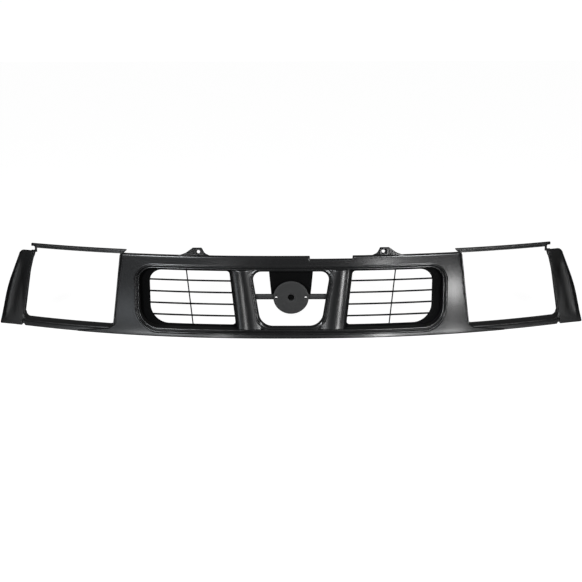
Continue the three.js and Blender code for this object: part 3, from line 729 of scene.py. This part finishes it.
def ear(x, z, seat, radius=7.0):
    """A round ear for a screw, with a shallow counterbore."""
    back = seat + WALL
    return lathe([(EAR_HOLE_R, seat), (radius - 0.4, seat), (radius, seat + 0.4), (radius, back - 0.5),
                  (radius - 0.5, back), (5, back), (EAR_HOLE_R, back - 0.1)], x, z)


# ---------------------------------------- badge pad and bracket
def badge_pad():
    disc = ellipse(0, PAD_Z, PAD_A, PAD_B, 96)
    holes = [ellipse(s * PAD_HOLE_X, PAD_Z, PAD_HOLE_R, PAD_HOLE_R, 24) for s in (1, -1)]
    socket = ellipse(0, PAD_Z, SOCKET_R, SOCKET_R, 32)
    edge, small, lip = ([(d, flat(PAD_D + y)) for d, y in run] for run in (
        [(2.6, 0), (1.5, 0.12), (0.7, 0.4), (0.2, 0.9), (0, 1.5), (0, 2.6), (0.4, WALL)],
        [(0.5, 0), (0.12, 0.15), (0, 0.5), (0, WALL)],
        [(1.6, 0), (0.8, 0.2), (0.2, 0.8), (0, 1.5), (0, WALL)],
    ))
    bores = [(hole, small) for hole in holes] + [(socket, lip)]
    body = moulding(disc, edge, bores, flat(PAD_D), flat(PAD_D + WALL), 4.0)
    hub = [
        (SOCKET_R, PAD_D + 1.5), (HUB_R - 1, PAD_D + 1.5), (HUB_R, PAD_D + WALL), (HUB_R, CROSS_BACK - 1),
        (HUB_R - 1, CROSS_BACK), (SOCKET_R + 1, CROSS_BACK), (SOCKET_R, CROSS_BACK - 1),
        (SOCKET_R, PAD_D + 1.5),
    ]
    body.take(ring_body(hub, 0, PAD_Z, 64))
    end = centre_of("crossbar_screw_right")[0]
    z0, z1 = PAD_Z - CROSS_H / 2, PAD_Z + CROSS_H / 2
    near, web = CROSS_FRONT + 1.2, CROSS_FRONT + WALL
    section = [
        [near, z0], [CROSS_BACK, z0], [CROSS_BACK, z0 + WALL], [web, z0 + WALL], [web, z1 - WALL],
        [CROSS_BACK, z1 - WALL], [CROSS_BACK, z1], [near, z1], [CROSS_FRONT, z1 - 3.5],
        [CROSS_FRONT, z0 + 3.5],
    ]
    for side in (1, -1):
        a, b = sorted((side * (PAD_HOLE_X + 4.5), side * (end + 4)))
        body.take(along_x(section, a, b, lambda x: 0.0, 0.9, 6.0))
        a, b = sorted((side * (HUB_R - 2), side * (PAD_HOLE_X + 5)))
        for z in (z0, z1 - WALL):
            strut = [[near, z], [CROSS_BACK, z], [CROSS_BACK, z + WALL], [near, z + WALL]]
            body.take(along_x(strut, a, b, lambda x: 0.0, 0.6, 6.0))
        body.take(ear_block(side * end, PAD_Z))
    return body


def ear_block(x, z):
    """The thick round end of the crossbar, with a counterbored hole for its screw."""
    return lathe([(2.3, CROSS_FRONT), (7.4, CROSS_FRONT), (8, CROSS_FRONT + 0.6), (8, CROSS_BACK - 0.6),
                  (7.4, CROSS_BACK), (5.2, CROSS_BACK), (5, CROSS_BACK - 0.4), (5, CROSS_FRONT + WALL),
                  (2.3, CROSS_FRONT + WALL)], x, z)


def ring_body(rings, x, z, count):
    """A turned ring: its section is a closed run of (radius, y) pairs, the last the same as the first."""
    body = Body()
    turn = 2 * np.pi * np.arange(count) / count
    made = [body.add(np.column_stack([x + r * np.cos(turn), y + 0 * turn, z + r * np.sin(turn)]))
            for r, y in rings[:-1]]
    for a, b in zip(made, made[1:] + made[:1]):
        body.strip(a, b)
    return body


def badge_bracket():
    low, high = CROSS_BACK + GAP, BRACKET_D
    foot, top = PAD_Z - 28, TRACK_TOP + 13

    def front(x, z):
        return low + (high - low) * blend(PAD_Z + 18, PAD_Z + 64, z) + 0 * x

    shape = outline(both_halves([
        [BRACKET_BOTTOM_W / 2 - 20, foot, 8], [BRACKET_BOTTOM_W / 2, PAD_Z, 20],
        [BRACKET_TOP_W / 2, TRACK_TOP, 4], [BRACKET_TOP_W / 2, top, 3],
    ]), 3.0)
    wide = PAD_HOLE_R + PEG_ROOM
    holes = [ellipse(s * PAD_HOLE_X, PAD_Z, wide, wide, 32) for s in (1, -1)]
    body = plate(shape, front, lambda x, z: front(x, z) + WALL, 0.9, holes, 4.0)
    for side in (1, -1):
        rib_foot, rib_top = side * (BRACKET_BOTTOM_W / 2 - 2.5), side * (BRACKET_TOP_W / 2 - 2.5)
        body.take(along_line(
            rib_foot, PAD_Z + 6, rib_top, TRACK_TOP - 6, WALL,
            lambda x, z: front(x, z) + 1, lambda x, z: front(x, z) + 3 * WALL, 0.7, 6.0))
    spigot = [
        (0.01, PAD_D + 5.5), (1.5, PAD_D + 5.2), (1.9, PAD_D + 2.2), (2.6, PAD_D + 1.6),
        (4.2, PAD_D + 1.6), (SPIGOT_R, PAD_D + 2.4), (SPIGOT_R, low + 1),
    ]
    return body.take(lathe(spigot, 0, PAD_Z, 32))


# ---------------------------------------- headlamp frame, right hand
FRAME_FRONT = WALL + GAP
BAR_START = lamp_inner(BODY_H) - BAR_OVERHANG
BAR_END = LAMP_OUTER_TOP + 13
# X where the opening's inboard side ends, and where its outboard side starts.
INBOARD = 520
OUTBOARD = 600


def lamp_tunnel():
    """Walls at both sides and below, open above."""
    outer = lamp_opening.moved(WALL)
    inner = lamp_opening.points
    top = LAMP_TOP - 1.5
    start = np.argmax((inner[:, 0] < INBOARD) * (inner[:, 1] < top) * inner[:, 1])
    count = len(inner)
    order = [(start + i) % count for i in range(count)]
    keep = []
    for i in order:
        keep.append(i)
        if inner[i, 0] > OUTBOARD and inner[i, 1] > top - 6:
            break
    walk_out = [tuple(outer[i]) for i in keep]
    walk_in = [tuple(inner[i]) for i in reversed(keep)]
    shape = Outline(walk_out + walk_in, [1.2] * (2 * len(keep)))

    def rear(x, z):
        outboard = blend(LAMP_OUTER_TOP - 26, LAMP_OUTER_TOP - 16, x)
        shallow = outboard * blend(26, 32, z) * blend(LAMP_TOP - 20, LAMP_TOP - 24, z)
        return sweep(x) + FRAME_BACK + (OUTER_BACK - FRAME_BACK) * shallow

    edge = rolled(0.9, face(FRAME_FRONT), 4) + [(0, rear), (1.0, rear)]
    return moulding(shape, edge, (), face(FRAME_FRONT), rear, 40.0)


def lamp_rail():
    left, right = lamp_inner(0) - 1, LAMP_OUTER_LOW + WALL
    shape = outline([
        [left, 0, 1.5], [right - 8, 0, 1.5], [right - 6, 4, 1], [right, 5, 1], [right, 13.5, 1.2],
        [left, 13.5, 1.2],
    ], 3.0)

    def roll(x, z):
        return 1.2 + 5.3 * blend(7, 9, z)

    deep = face(FRAME_FRONT + 7)
    edge = rolled(roll, face(FRAME_FRONT), 8) + [(0.4, deep), (0.9, deep)]
    rail = moulding(shape, edge, (), face(FRAME_FRONT), deep, 4.0)
    foot = outline([[left, 0, 0.9], [right - 8, 0, 0.9], [right - 8, WALL, 0.9], [left, WALL, 0.9]], 3.0)
    return rail.take(plate(foot, face(FRAME_FRONT + 1), face(FRAME_FRONT + 14), 0.8, grid=4.0))


def lamp_bar():
    """A channel, open to the front, with solid ends and an open-ended slot in its outer ear."""
    z0, z1 = LAMP_TOP, LAMP_TOP + BAR_H
    back = FRAME_BACK + 4
    inner, outer = lamp_inner(LAMP_TOP) + 1.5, LAMP_OUTER_TOP + 4
    solid = [[BAR_FRONT, z0], [back, z0], [back, z1], [BAR_FRONT, z1]]
    channel = solid + [
        [BAR_FRONT, z1 - 2.5], [BAR_FRONT + WALL, z1 - 2.5], [BAR_FRONT + WALL, z0 + WALL],
        [BAR_FRONT, z0 + WALL],
    ]
    body = along_x(channel, BAR_START + 14, LAMP_OUTER_TOP - 6, swept, 0.5)
    body.take(along_x(solid, LAMP_OUTER_TOP - 8, outer, swept, 0.6, 4.0))
    tip = outline([
        [BAR_START + 9, z0, 0.8], [BAR_START + 17, z0, 0.8], [BAR_START + 17, z1, 0.8], [BAR_START, z1, 0.8],
        [BAR_START, z1 - 2, 0.8],
    ], 2.0)
    body.take(plate(tip, depth(BAR_FRONT), depth(back), 0.6, grid=3.0))
    heel = outline([
        [BAR_START + 5, z0 - 9, 1], [inner, z0 - 9, 1], [inner, z0 + 1.5, 1], [BAR_START + 5, z0 + 1.5, 1],
    ], 2.0)
    body.take(plate(heel, depth(BAR_FRONT), depth(FRAME_BACK), 0.7, grid=3.0))
    ear_shape = outline([
        [LAMP_OUTER_TOP - 2, z0 - 11, 1], [BAR_END, z0 - 11, 2], [BAR_END, z0 - 6, 1], [outer, z0 - 6, 3],
        [outer, z0 + 4, 3], [BAR_END, z0 + 4, 1], [BAR_END, z1, 0.8], [LAMP_OUTER_TOP - 2, z1, 0.8],
    ], 1.5)
    body.take(plate(ear_shape, depth(BAR_FRONT), depth(BAR_FRONT + WALL), 0.8, grid=3.0))
    over = [[BAR_FRONT, z0 + 4], [back, z0 + 4], [back, z1], [BAR_FRONT, z1]]
    return body.take(along_x(over, LAMP_OUTER_TOP + 2, BAR_END, swept, 0.6, 4.0))


def lamp_frame():
    body = lamp_tunnel().take(lamp_rail(), lamp_bar())
    for name in screws("lamp_frame", 3) + screws("tray", 3):
        x, z = centre_of(name)
        inner = name.startswith("lamp")
        seat = seat_depth(x, RETURN_D if inner else TRAY_SEAT_D) + GAP
        body.take(ear(x, z, seat))
        side = lamp_opening.points[(np.abs(lamp_opening.points[:, 1] - z) < 6)][:, 0].max()
        a, b = (x, lamp_inner(z) - 1.5) if inner else (side + 1.5, x)
        web = outline([[a, z - 5, 0.8], [b, z - 5, 0.8], [b, z + 5, 0.8], [a, z + 5, 0.8]], 3.0)
        body.take(plate(web, flat(seat), flat(seat + WALL - 0.1), 0.6, grid=4.0))
    return body


# ---------------------------------------- corner tray, right hand
TRAY_TOP_X = lamp_outer(TRAY_H) + WALL + TRAY_TOP_W


def tray_edge(z):
    return HALF + (TRAY_TOP_X - HALF) * z / TRAY_H


def tray_side(z):
    """The tray's bowed outer side."""
    return tray_edge(z) + 0.8 * TRAY_BULGE * (1 - (2 * z / TRAY_H - 1) ** 2)


RIDGE_H = 2.0
RIDGE_W = 2.6
TURN_AWAY = 0.22


def ridge(z):
    """X of the soft line down the tray's face."""
    return tray_side(z) - 13 + 6 * z / TRAY_H


def tray_face(extra):
    """The front surface over the tray, which comes forward of the sweep towards the tip."""
    return lambda x, z: face(extra)(x, z) - TRAY_FORWARD * np.maximum(0, x - LAMP_OUTER_LOW) / TRAY_BOTTOM_W


def tray_front(extra):
    """A soft ridge runs down the face, and outboard of it the face turns away."""
    def surface(x, z):
        off = x - ridge(z)
        strength = blend(16, 44, z) * blend(172, 140, z)
        bead = -RIDGE_H * strength * np.exp(-(off / RIDGE_W) ** 2)
        dish = 1.1 * np.exp(-((off + 14) / 9) ** 2) * strength
        away = TURN_AWAY * np.maximum(off - 1, 0) * blend(4, 26, z)
        return tray_face(TRAY_FRONT)(x, z) + bead + dish + away + extra
    return surface


def corner_tray():
    grown = lamp_opening.moved(WALL + GAP)
    chain = [tuple(p) for p in grown if p[0] > OUTBOARD and 13.8 < p[1] < TRAY_H - 1.5]
    chain = sorted(chain, key=lambda p: -p[1])
    start = LAMP_OUTER_LOW + WALL + GAP
    outer, room = rounded([
        [start, 0, 1.2], [HALF, 0, 3], [tray_edge(TRAY_H / 2) + TRAY_BULGE, TRAY_H / 2, 400],
        [TRAY_TOP_X, TRAY_H, 14], [chain[0][0] - 1, TRAY_H, 1], [chain[0][0] - 0.4, TRAY_H - 3, 50],
    ])
    last = max(i for i, p in enumerate(outer) if p[1] > TRAY_H - 1)
    points = outer[:last + 1] + chain + [(start, 13.8)]
    space = room[:last + 1] + [FREE] * len(chain) + [1]
    shape = Outline(points, space)

    def roll(x, z):
        outward = blend(lamp_outer(LEDGE_H) - 10, tray_side(z) - 14, x)
        return 1.0 + 1.8 * blend(0.2, 0.8, outward)

    edge = rolled(roll, tray_front(0)) + [
        (0, tray_face(TRAY_RIM - 0.4)), (0.5, tray_face(TRAY_RIM)), (WALL - 0.5, tray_face(TRAY_RIM)),
        (WALL, tray_face(TRAY_FRONT + 7)),
        (WALL, tray_front(WALL + 0.5)),
    ]
    body = moulding(shape, edge, (), tray_front(0), tray_front(WALL + 0.5), 3.0)
    for name in screws("tray", 3):
        x, z = centre_of(name)
        body.take(boss(x, z, tray_front(1), seat_depth(x, TRAY_SEAT_D)))
    return body


# ---------------------------------------- screws
def screw(node):
    """A pan-head screw with a cross recess, where the CAD one is."""
    low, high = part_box(node)
    x, z = centre_of(node)
    top, tip = (high.y - LOW[1]) * 1000, (low.y - LOW[1]) * 1000
    under = top - 2.8
    turn = 2 * np.pi * np.arange(32) / 32
    arm = np.abs(np.cos(2 * turn)) ** 3
    wide, deep = 0.75 + 1.5 * arm, 0.5 + 0.9 * arm
    return lathe([
        (0.05, tip), (1.0, tip + 1.8), (1.6, tip + 2.6), (1.6, under), (4.2, under), (4.4, under + 0.2),
        (4.35, under + 1.2), (3.9, top - 0.75), (3.1, top - 0.25), (2.5, top - 0.05), (wide, top),
        (deep, top - 1.2), (0.05, top - 1.5),
    ], x, z, 32)


# ---------------------------------------- materials
def new_material(name):
    material = bpy.data.materials.new(name)
    material.use_nodes = True
    nodes, links = material.node_tree.nodes, material.node_tree.links
    return material, nodes, links, nodes["Principled BSDF"]


def add(nodes, kind, **values):
    """A shader node. Each value sets a property of that name, or else the input of that name."""
    node = nodes.new("ShaderNode" + kind)
    for key, value in values.items():
        if hasattr(node, key):
            setattr(node, key, value)
        else:
            node.inputs[key.replace("_", " ").title()].default_value = value
    return node


def moulded(name, base, shade, roughness, spread, grain_scale, grain_height, wear=None, gloss=0.5, back_and_top=None):
    """A moulded or painted plastic. wear is the colour of its edges; the last colour is the one that faces
    turned to the back, and up-facing faces along the top, take with a duller finish.
    """
    material, nodes, links, shader = new_material(name)
    where = add(nodes, "TexCoord")
    cloud = add(nodes, "TexNoise", Scale=9.0, Detail=4.0)
    links.new(where.outputs["Object"], cloud.inputs["Vector"])
    tone = add(nodes, "ValToRGB")
    tone.color_ramp.elements[0].position, tone.color_ramp.elements[1].position = 0.35, 0.68
    tone.color_ramp.elements[0].color = (*base, 1)
    tone.color_ramp.elements[1].color = (*shade, 1)
    links.new(cloud.outputs["Fac"], tone.inputs["Fac"])
    colour = tone.outputs["Color"]

    fine = add(nodes, "TexNoise", Scale=grain_scale, Detail=3.0)
    links.new(where.outputs["Object"], fine.inputs["Vector"])

    if wear:
        shape = add(nodes, "NewGeometry")
        edges = add(nodes, "ValToRGB")
        edges.color_ramp.elements[0].position, edges.color_ramp.elements[1].position = 0.53, 0.62
        links.new(shape.outputs["Pointiness"], edges.inputs["Fac"])
        broken = add(nodes, "Math", operation="MULTIPLY")
        links.new(edges.outputs["Color"], broken.inputs[0])
        links.new(fine.outputs["Fac"], broken.inputs[1])
        rubbed = add(nodes, "Mix", data_type="RGBA")
        rubbed.inputs["B"].default_value = (*wear, 1)
        links.new(broken.outputs[0], rubbed.inputs["Factor"])
        links.new(colour, rubbed.inputs["A"])
        colour = rubbed.outputs["Result"]

    rough = add(nodes, "MapRange", To_Min=roughness - spread, To_Max=roughness + spread)
    links.new(cloud.outputs["Fac"], rough.inputs["Value"])
    rough_out = rough.outputs["Result"]

    # Faces that turn to the back, and up-facing faces above 0.19 m, take the last colour and a rougher
    # finish.
    if back_and_top:
        facing = add(nodes, "NewGeometry")
        split = add(nodes, "SeparateXYZ")
        links.new(facing.outputs["Normal"], split.inputs["Vector"])
        behind = add(nodes, "MapRange", From_Min=-0.12, From_Max=0.12)
        links.new(split.outputs["Y"], behind.inputs["Value"])
        above = add(nodes, "MapRange", From_Min=0.80, From_Max=0.97)
        links.new(split.outputs["Z"], above.inputs["Value"])
        place = add(nodes, "SeparateXYZ")
        links.new(where.outputs["Object"], place.inputs["Vector"])
        high = add(nodes, "Math", operation="GREATER_THAN")
        high.inputs[1].default_value = 0.19
        links.new(place.outputs["Z"], high.inputs[0])
        on_top = add(nodes, "Math", operation="MULTIPLY")
        links.new(above.outputs["Result"], on_top.inputs[0])
        links.new(high.outputs[0], on_top.inputs[1])
        back_and_top_mask = add(nodes, "Math", operation="MAXIMUM")
        links.new(behind.outputs["Result"], back_and_top_mask.inputs[0])
        links.new(on_top.outputs[0], back_and_top_mask.inputs[1])
        back_and_top_mix = add(nodes, "Mix", data_type="RGBA")
        back_and_top_mix.inputs["B"].default_value = (*back_and_top, 1)
        links.new(back_and_top_mask.outputs[0], back_and_top_mix.inputs["Factor"])
        links.new(colour, back_and_top_mix.inputs["A"])
        colour = back_and_top_mix.outputs["Result"]
        dull = add(nodes, "MapRange", To_Max=0.62)
        links.new(back_and_top_mask.outputs[0], dull.inputs["Value"])
        links.new(rough_out, dull.inputs["To Min"])
        rough_out = dull.outputs["Result"]

    bump = add(nodes, "Bump", Strength=1.0, Distance=grain_height)
    links.new(fine.outputs["Fac"], bump.inputs["Height"])
    links.new(bump.outputs["Normal"], shader.inputs["Normal"])
    links.new(colour, shader.inputs["Base Color"])
    links.new(rough_out, shader.inputs["Roughness"])
    shader.inputs["Specular IOR Level"].default_value = gloss
    return material


def zinc_plate():
    material, nodes, links, shader = new_material("zinc_plate")
    where = add(nodes, "TexCoord")
    spots = add(nodes, "TexNoise", Scale=900.0, Detail=4.0)
    links.new(where.outputs["Object"], spots.inputs["Vector"])
    tone = add(nodes, "ValToRGB")
    tone.color_ramp.elements[0].color = (0.42, 0.42, 0.40, 1)
    tone.color_ramp.elements[1].color = (0.66, 0.66, 0.62, 1)
    links.new(spots.outputs["Fac"], tone.inputs["Fac"])
    links.new(tone.outputs["Color"], shader.inputs["Base Color"])
    rough = add(nodes, "MapRange", To_Min=0.25, To_Max=0.5)
    links.new(spots.outputs["Fac"], rough.inputs["Value"])
    links.new(rough.outputs["Result"], shader.inputs["Roughness"])
    shader.inputs["Metallic"].default_value = 1
    bump = add(nodes, "Bump", Distance=0.00003)
    links.new(spots.outputs["Fac"], bump.inputs["Height"])
    links.new(bump.outputs["Normal"], shader.inputs["Normal"])
    return material


paint = moulded("satin_paint", (0.0065, 0.0065, 0.0067), (0.009, 0.009, 0.0092),
                roughness=0.26, spread=0.02, grain_scale=2600.0, grain_height=0.00001,
                wear=(0.022, 0.022, 0.0225), gloss=0.6, back_and_top=(0.009, 0.009, 0.009))
black = moulded("black_moulding", (0.0015, 0.0015, 0.0016), (0.003, 0.003, 0.0032),
                roughness=0.7, spread=0.06, grain_scale=1400.0, grain_height=0.00003,
                wear=(0.008, 0.008, 0.008), gloss=0.03)
frame_black = moulded("frame_moulding", (0.006, 0.006, 0.0062), (0.009, 0.009, 0.0092),
                      roughness=0.32, spread=0.05, grain_scale=1200.0, grain_height=0.00003,
                      wear=(0.05, 0.05, 0.05), gloss=0.9)
tray_black = moulded("tray_moulding", (0.0035, 0.0035, 0.0036), (0.006, 0.006, 0.0061),
                     roughness=0.36, spread=0.05, grain_scale=900.0, grain_height=0.00005,
                     wear=(0.05, 0.05, 0.05), gloss=0.5)
pad_grey = moulded("pad_moulding", (0.012, 0.012, 0.012), (0.015, 0.015, 0.015),
                   roughness=0.6, spread=0.05, grain_scale=700.0, grain_height=0.00008,
                   wear=(0.08, 0.08, 0.08), gloss=0.4)
zinc = zinc_plate()

# ---------------------------------------- the pieces
piece("grille_shell_moulding", shell(), paint, ["grille_shell"], "shell_paint")
for name, body, material, slot_name in (
    ("louvre_insert", louvre_insert(), black, "louvre_black"),
    ("lamp_frame", lamp_frame(), frame_black, "frame_plastic"),
    ("corner_tray", corner_tray(), tray_black, "tray_plastic"),
):
    piece(name + "_right_moulding", body, material, [name + "_right"], slot_name)
    piece(name + "_left_moulding", body.mirrored(), material, [name + "_left"], slot_name)
piece("badge_pad_moulding", badge_pad(), pad_grey, ["badge_pad"], "pad_plastic")
piece("badge_bracket_moulding", badge_bracket(), black, ["badge_bracket"], "louvre_black")
for node in sorted(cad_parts):
    if "screw" in node:
        piece(node + "_turned", screw(node), zinc, [node], "screw_zinc")

# ---------------------------------------- studio
scene = bpy.context.scene
scene.view_settings.view_transform = "Standard"


def pale(name, glow):
    """A pale painted surface that shows near white and takes a faint shadow."""
    material, nodes, links, shader = new_material(name)
    where = add(nodes, "TexCoord")
    cloud = add(nodes, "TexNoise", Scale=1.5, Detail=2.0)
    links.new(where.outputs["Object"], cloud.inputs["Vector"])
    tone = add(nodes, "ValToRGB")
    tone.color_ramp.elements[0].color = (0.30, 0.30, 0.30, 1)
    tone.color_ramp.elements[1].color = (0.32, 0.32, 0.32, 1)
    links.new(cloud.outputs["Fac"], tone.inputs["Fac"])
    links.new(tone.outputs["Color"], shader.inputs["Base Color"])
    shader.inputs["Roughness"].default_value = 0.9
    shader.inputs["Specular IOR Level"].default_value = 0.0
    shader.inputs["Emission Color"].default_value = (1, 1, 1, 1)
    shader.inputs["Emission Strength"].default_value = glow
    return material


def staged(name, data, material):
    """A studio surface that only the camera sees, so it adds no light of its own."""
    obj = bpy.data.objects.new(name, data)
    scene.collection.objects.link(obj)
    data.materials.append(material)
    obj.visible_diffuse = obj.visible_glossy = obj.visible_shadow = False
    obj.visible_transmission = obj.visible_volume_scatter = False


def studio():
    z, half = -0.001, 9
    floor = bpy.data.meshes.new("studio_floor")
    corners = [(-half, -half, z), (half, -half, z), (half, half, z), (-half, half, z)]
    floor.from_pydata(corners, [], [(0, 1, 2, 3)])
    staged("studio_floor", floor, pale("pale_floor", 0.965))
    dome = bpy.data.meshes.new("studio_dome")
    shape = bmesh.new()
    bmesh.ops.create_uvsphere(shape, u_segments=48, v_segments=24, radius=12)
    shape.to_mesh(dome)
    shape.free()
    staged("studio_dome", dome, pale("pale_wall", 1.0))


def soft_light(name, yaw, rise, distance, size, radiance, colour=(1, 1, 1), at=(0, 0, 0.1)):
    """A soft box that faces a place. Its yaw to the viewer's right and its rise are in degrees."""
    data = bpy.data.lights.new(name, "AREA")
    data.shape = "RECTANGLE"
    data.size, data.size_y = size
    data.energy = radiance * math.pi * size[0] * size[1]
    data.color = colour
    obj = bpy.data.objects.new(name, data)
    scene.collection.objects.link(obj)
    a, e = math.radians(yaw), math.radians(rise)
    out = Vector((math.sin(a) * math.cos(e), -math.cos(a) * math.cos(e), math.sin(e)))
    obj.location = out * distance + Vector(at)
    obj.rotation_euler = out.to_track_quat("Z", "Y").to_euler()
    obj.visible_camera = False


def beside(x, z):
    """A place on the front surface, in metres in the row frame."""
    return x / 1000, float(face(0)(x, z)) / 1000 + LOW[1], z / 1000


studio()
soft_light("lip_right", 29, 16, 2.6, (0.34, 0.42), 94, (0.97, 0.985, 1.0))
soft_light("lip_left", -30, 16, 2.6, (0.40, 0.42), 84, (0.94, 0.97, 1.0))
soft_light("panel_right", 32, -9, 0.27, (0.05, 0.05), 23, at=beside(395, 112))
soft_light("panel_left", -33, -9, 0.6, (0.16, 0.08), 6, (0.88, 0.94, 1.0), beside(-398, 0))
soft_light("post_right", 28, -10, 0.45, (0.05, 0.14), 27, at=beside(128, 118))
soft_light("post_left", -18, -10, 0.45, (0.05, 0.14), 12, at=beside(-118, 75))
soft_light("band_right", 26, -8, 2.6, (0.4, 0.3), 4)
soft_light("rail_left", -46, -8, 0.5, (0.3, 0.05), 4, at=beside(-545, 7))
soft_light("rail_right", 46, -8, 0.5, (0.3, 0.05), 7, at=beside(545, 7))

# The room is bright behind the object, overhead and on the floor, and dim in front of it.
world = bpy.data.worlds.new("studio")
scene.world = world
world.use_nodes = True
nodes, links = world.node_tree.nodes, world.node_tree.links
where = add(nodes, "TexCoord")
split = add(nodes, "SeparateXYZ")
links.new(where.outputs["Generated"], split.inputs["Vector"])
room = None
DIM = 0.06
for axis, start, full, strength in (("Y", -0.05, 0.5, 0.9), ("Z", 0.5, 0.92, 2.4), ("Z", -0.25, -0.6, 0.4)):
    term = add(nodes, "MapRange", interpolation_type="SMOOTHSTEP",
               From_Min=start, From_Max=full, To_Min=DIM, To_Max=strength)
    links.new(split.outputs[axis], term.inputs["Value"])
    if room:
        both = add(nodes, "Math", operation="MAXIMUM")
        links.new(room, both.inputs[0])
        links.new(term.outputs["Result"], both.inputs[1])
        room = both.outputs[0]
    else:
        room = term.outputs["Result"]
links.new(room, nodes["Background"].inputs["Strength"])

# ---------------------------------------- camera
target = Vector((0, 0.060 + LOW[1], 0.10587))
tilt, away = math.radians(15), 3.0
place = target + Vector((0, -away * math.cos(tilt), away * math.sin(tilt)))
lens = bpy.data.cameras.new("camera")
# The focal length is 2.079 times the width of the picture.
lens.sensor_width = 36
lens.lens = 36 * 1210 / 582
camera = bpy.data.objects.new("camera", lens)
scene.collection.objects.link(camera)
camera.location = place
aim = (target - place).to_track_quat("-Z", "Y").to_matrix() @ Matrix.Rotation(math.radians(-0.15), 3, "Z")
camera.rotation_euler = aim.to_euler()
scene.camera = camera
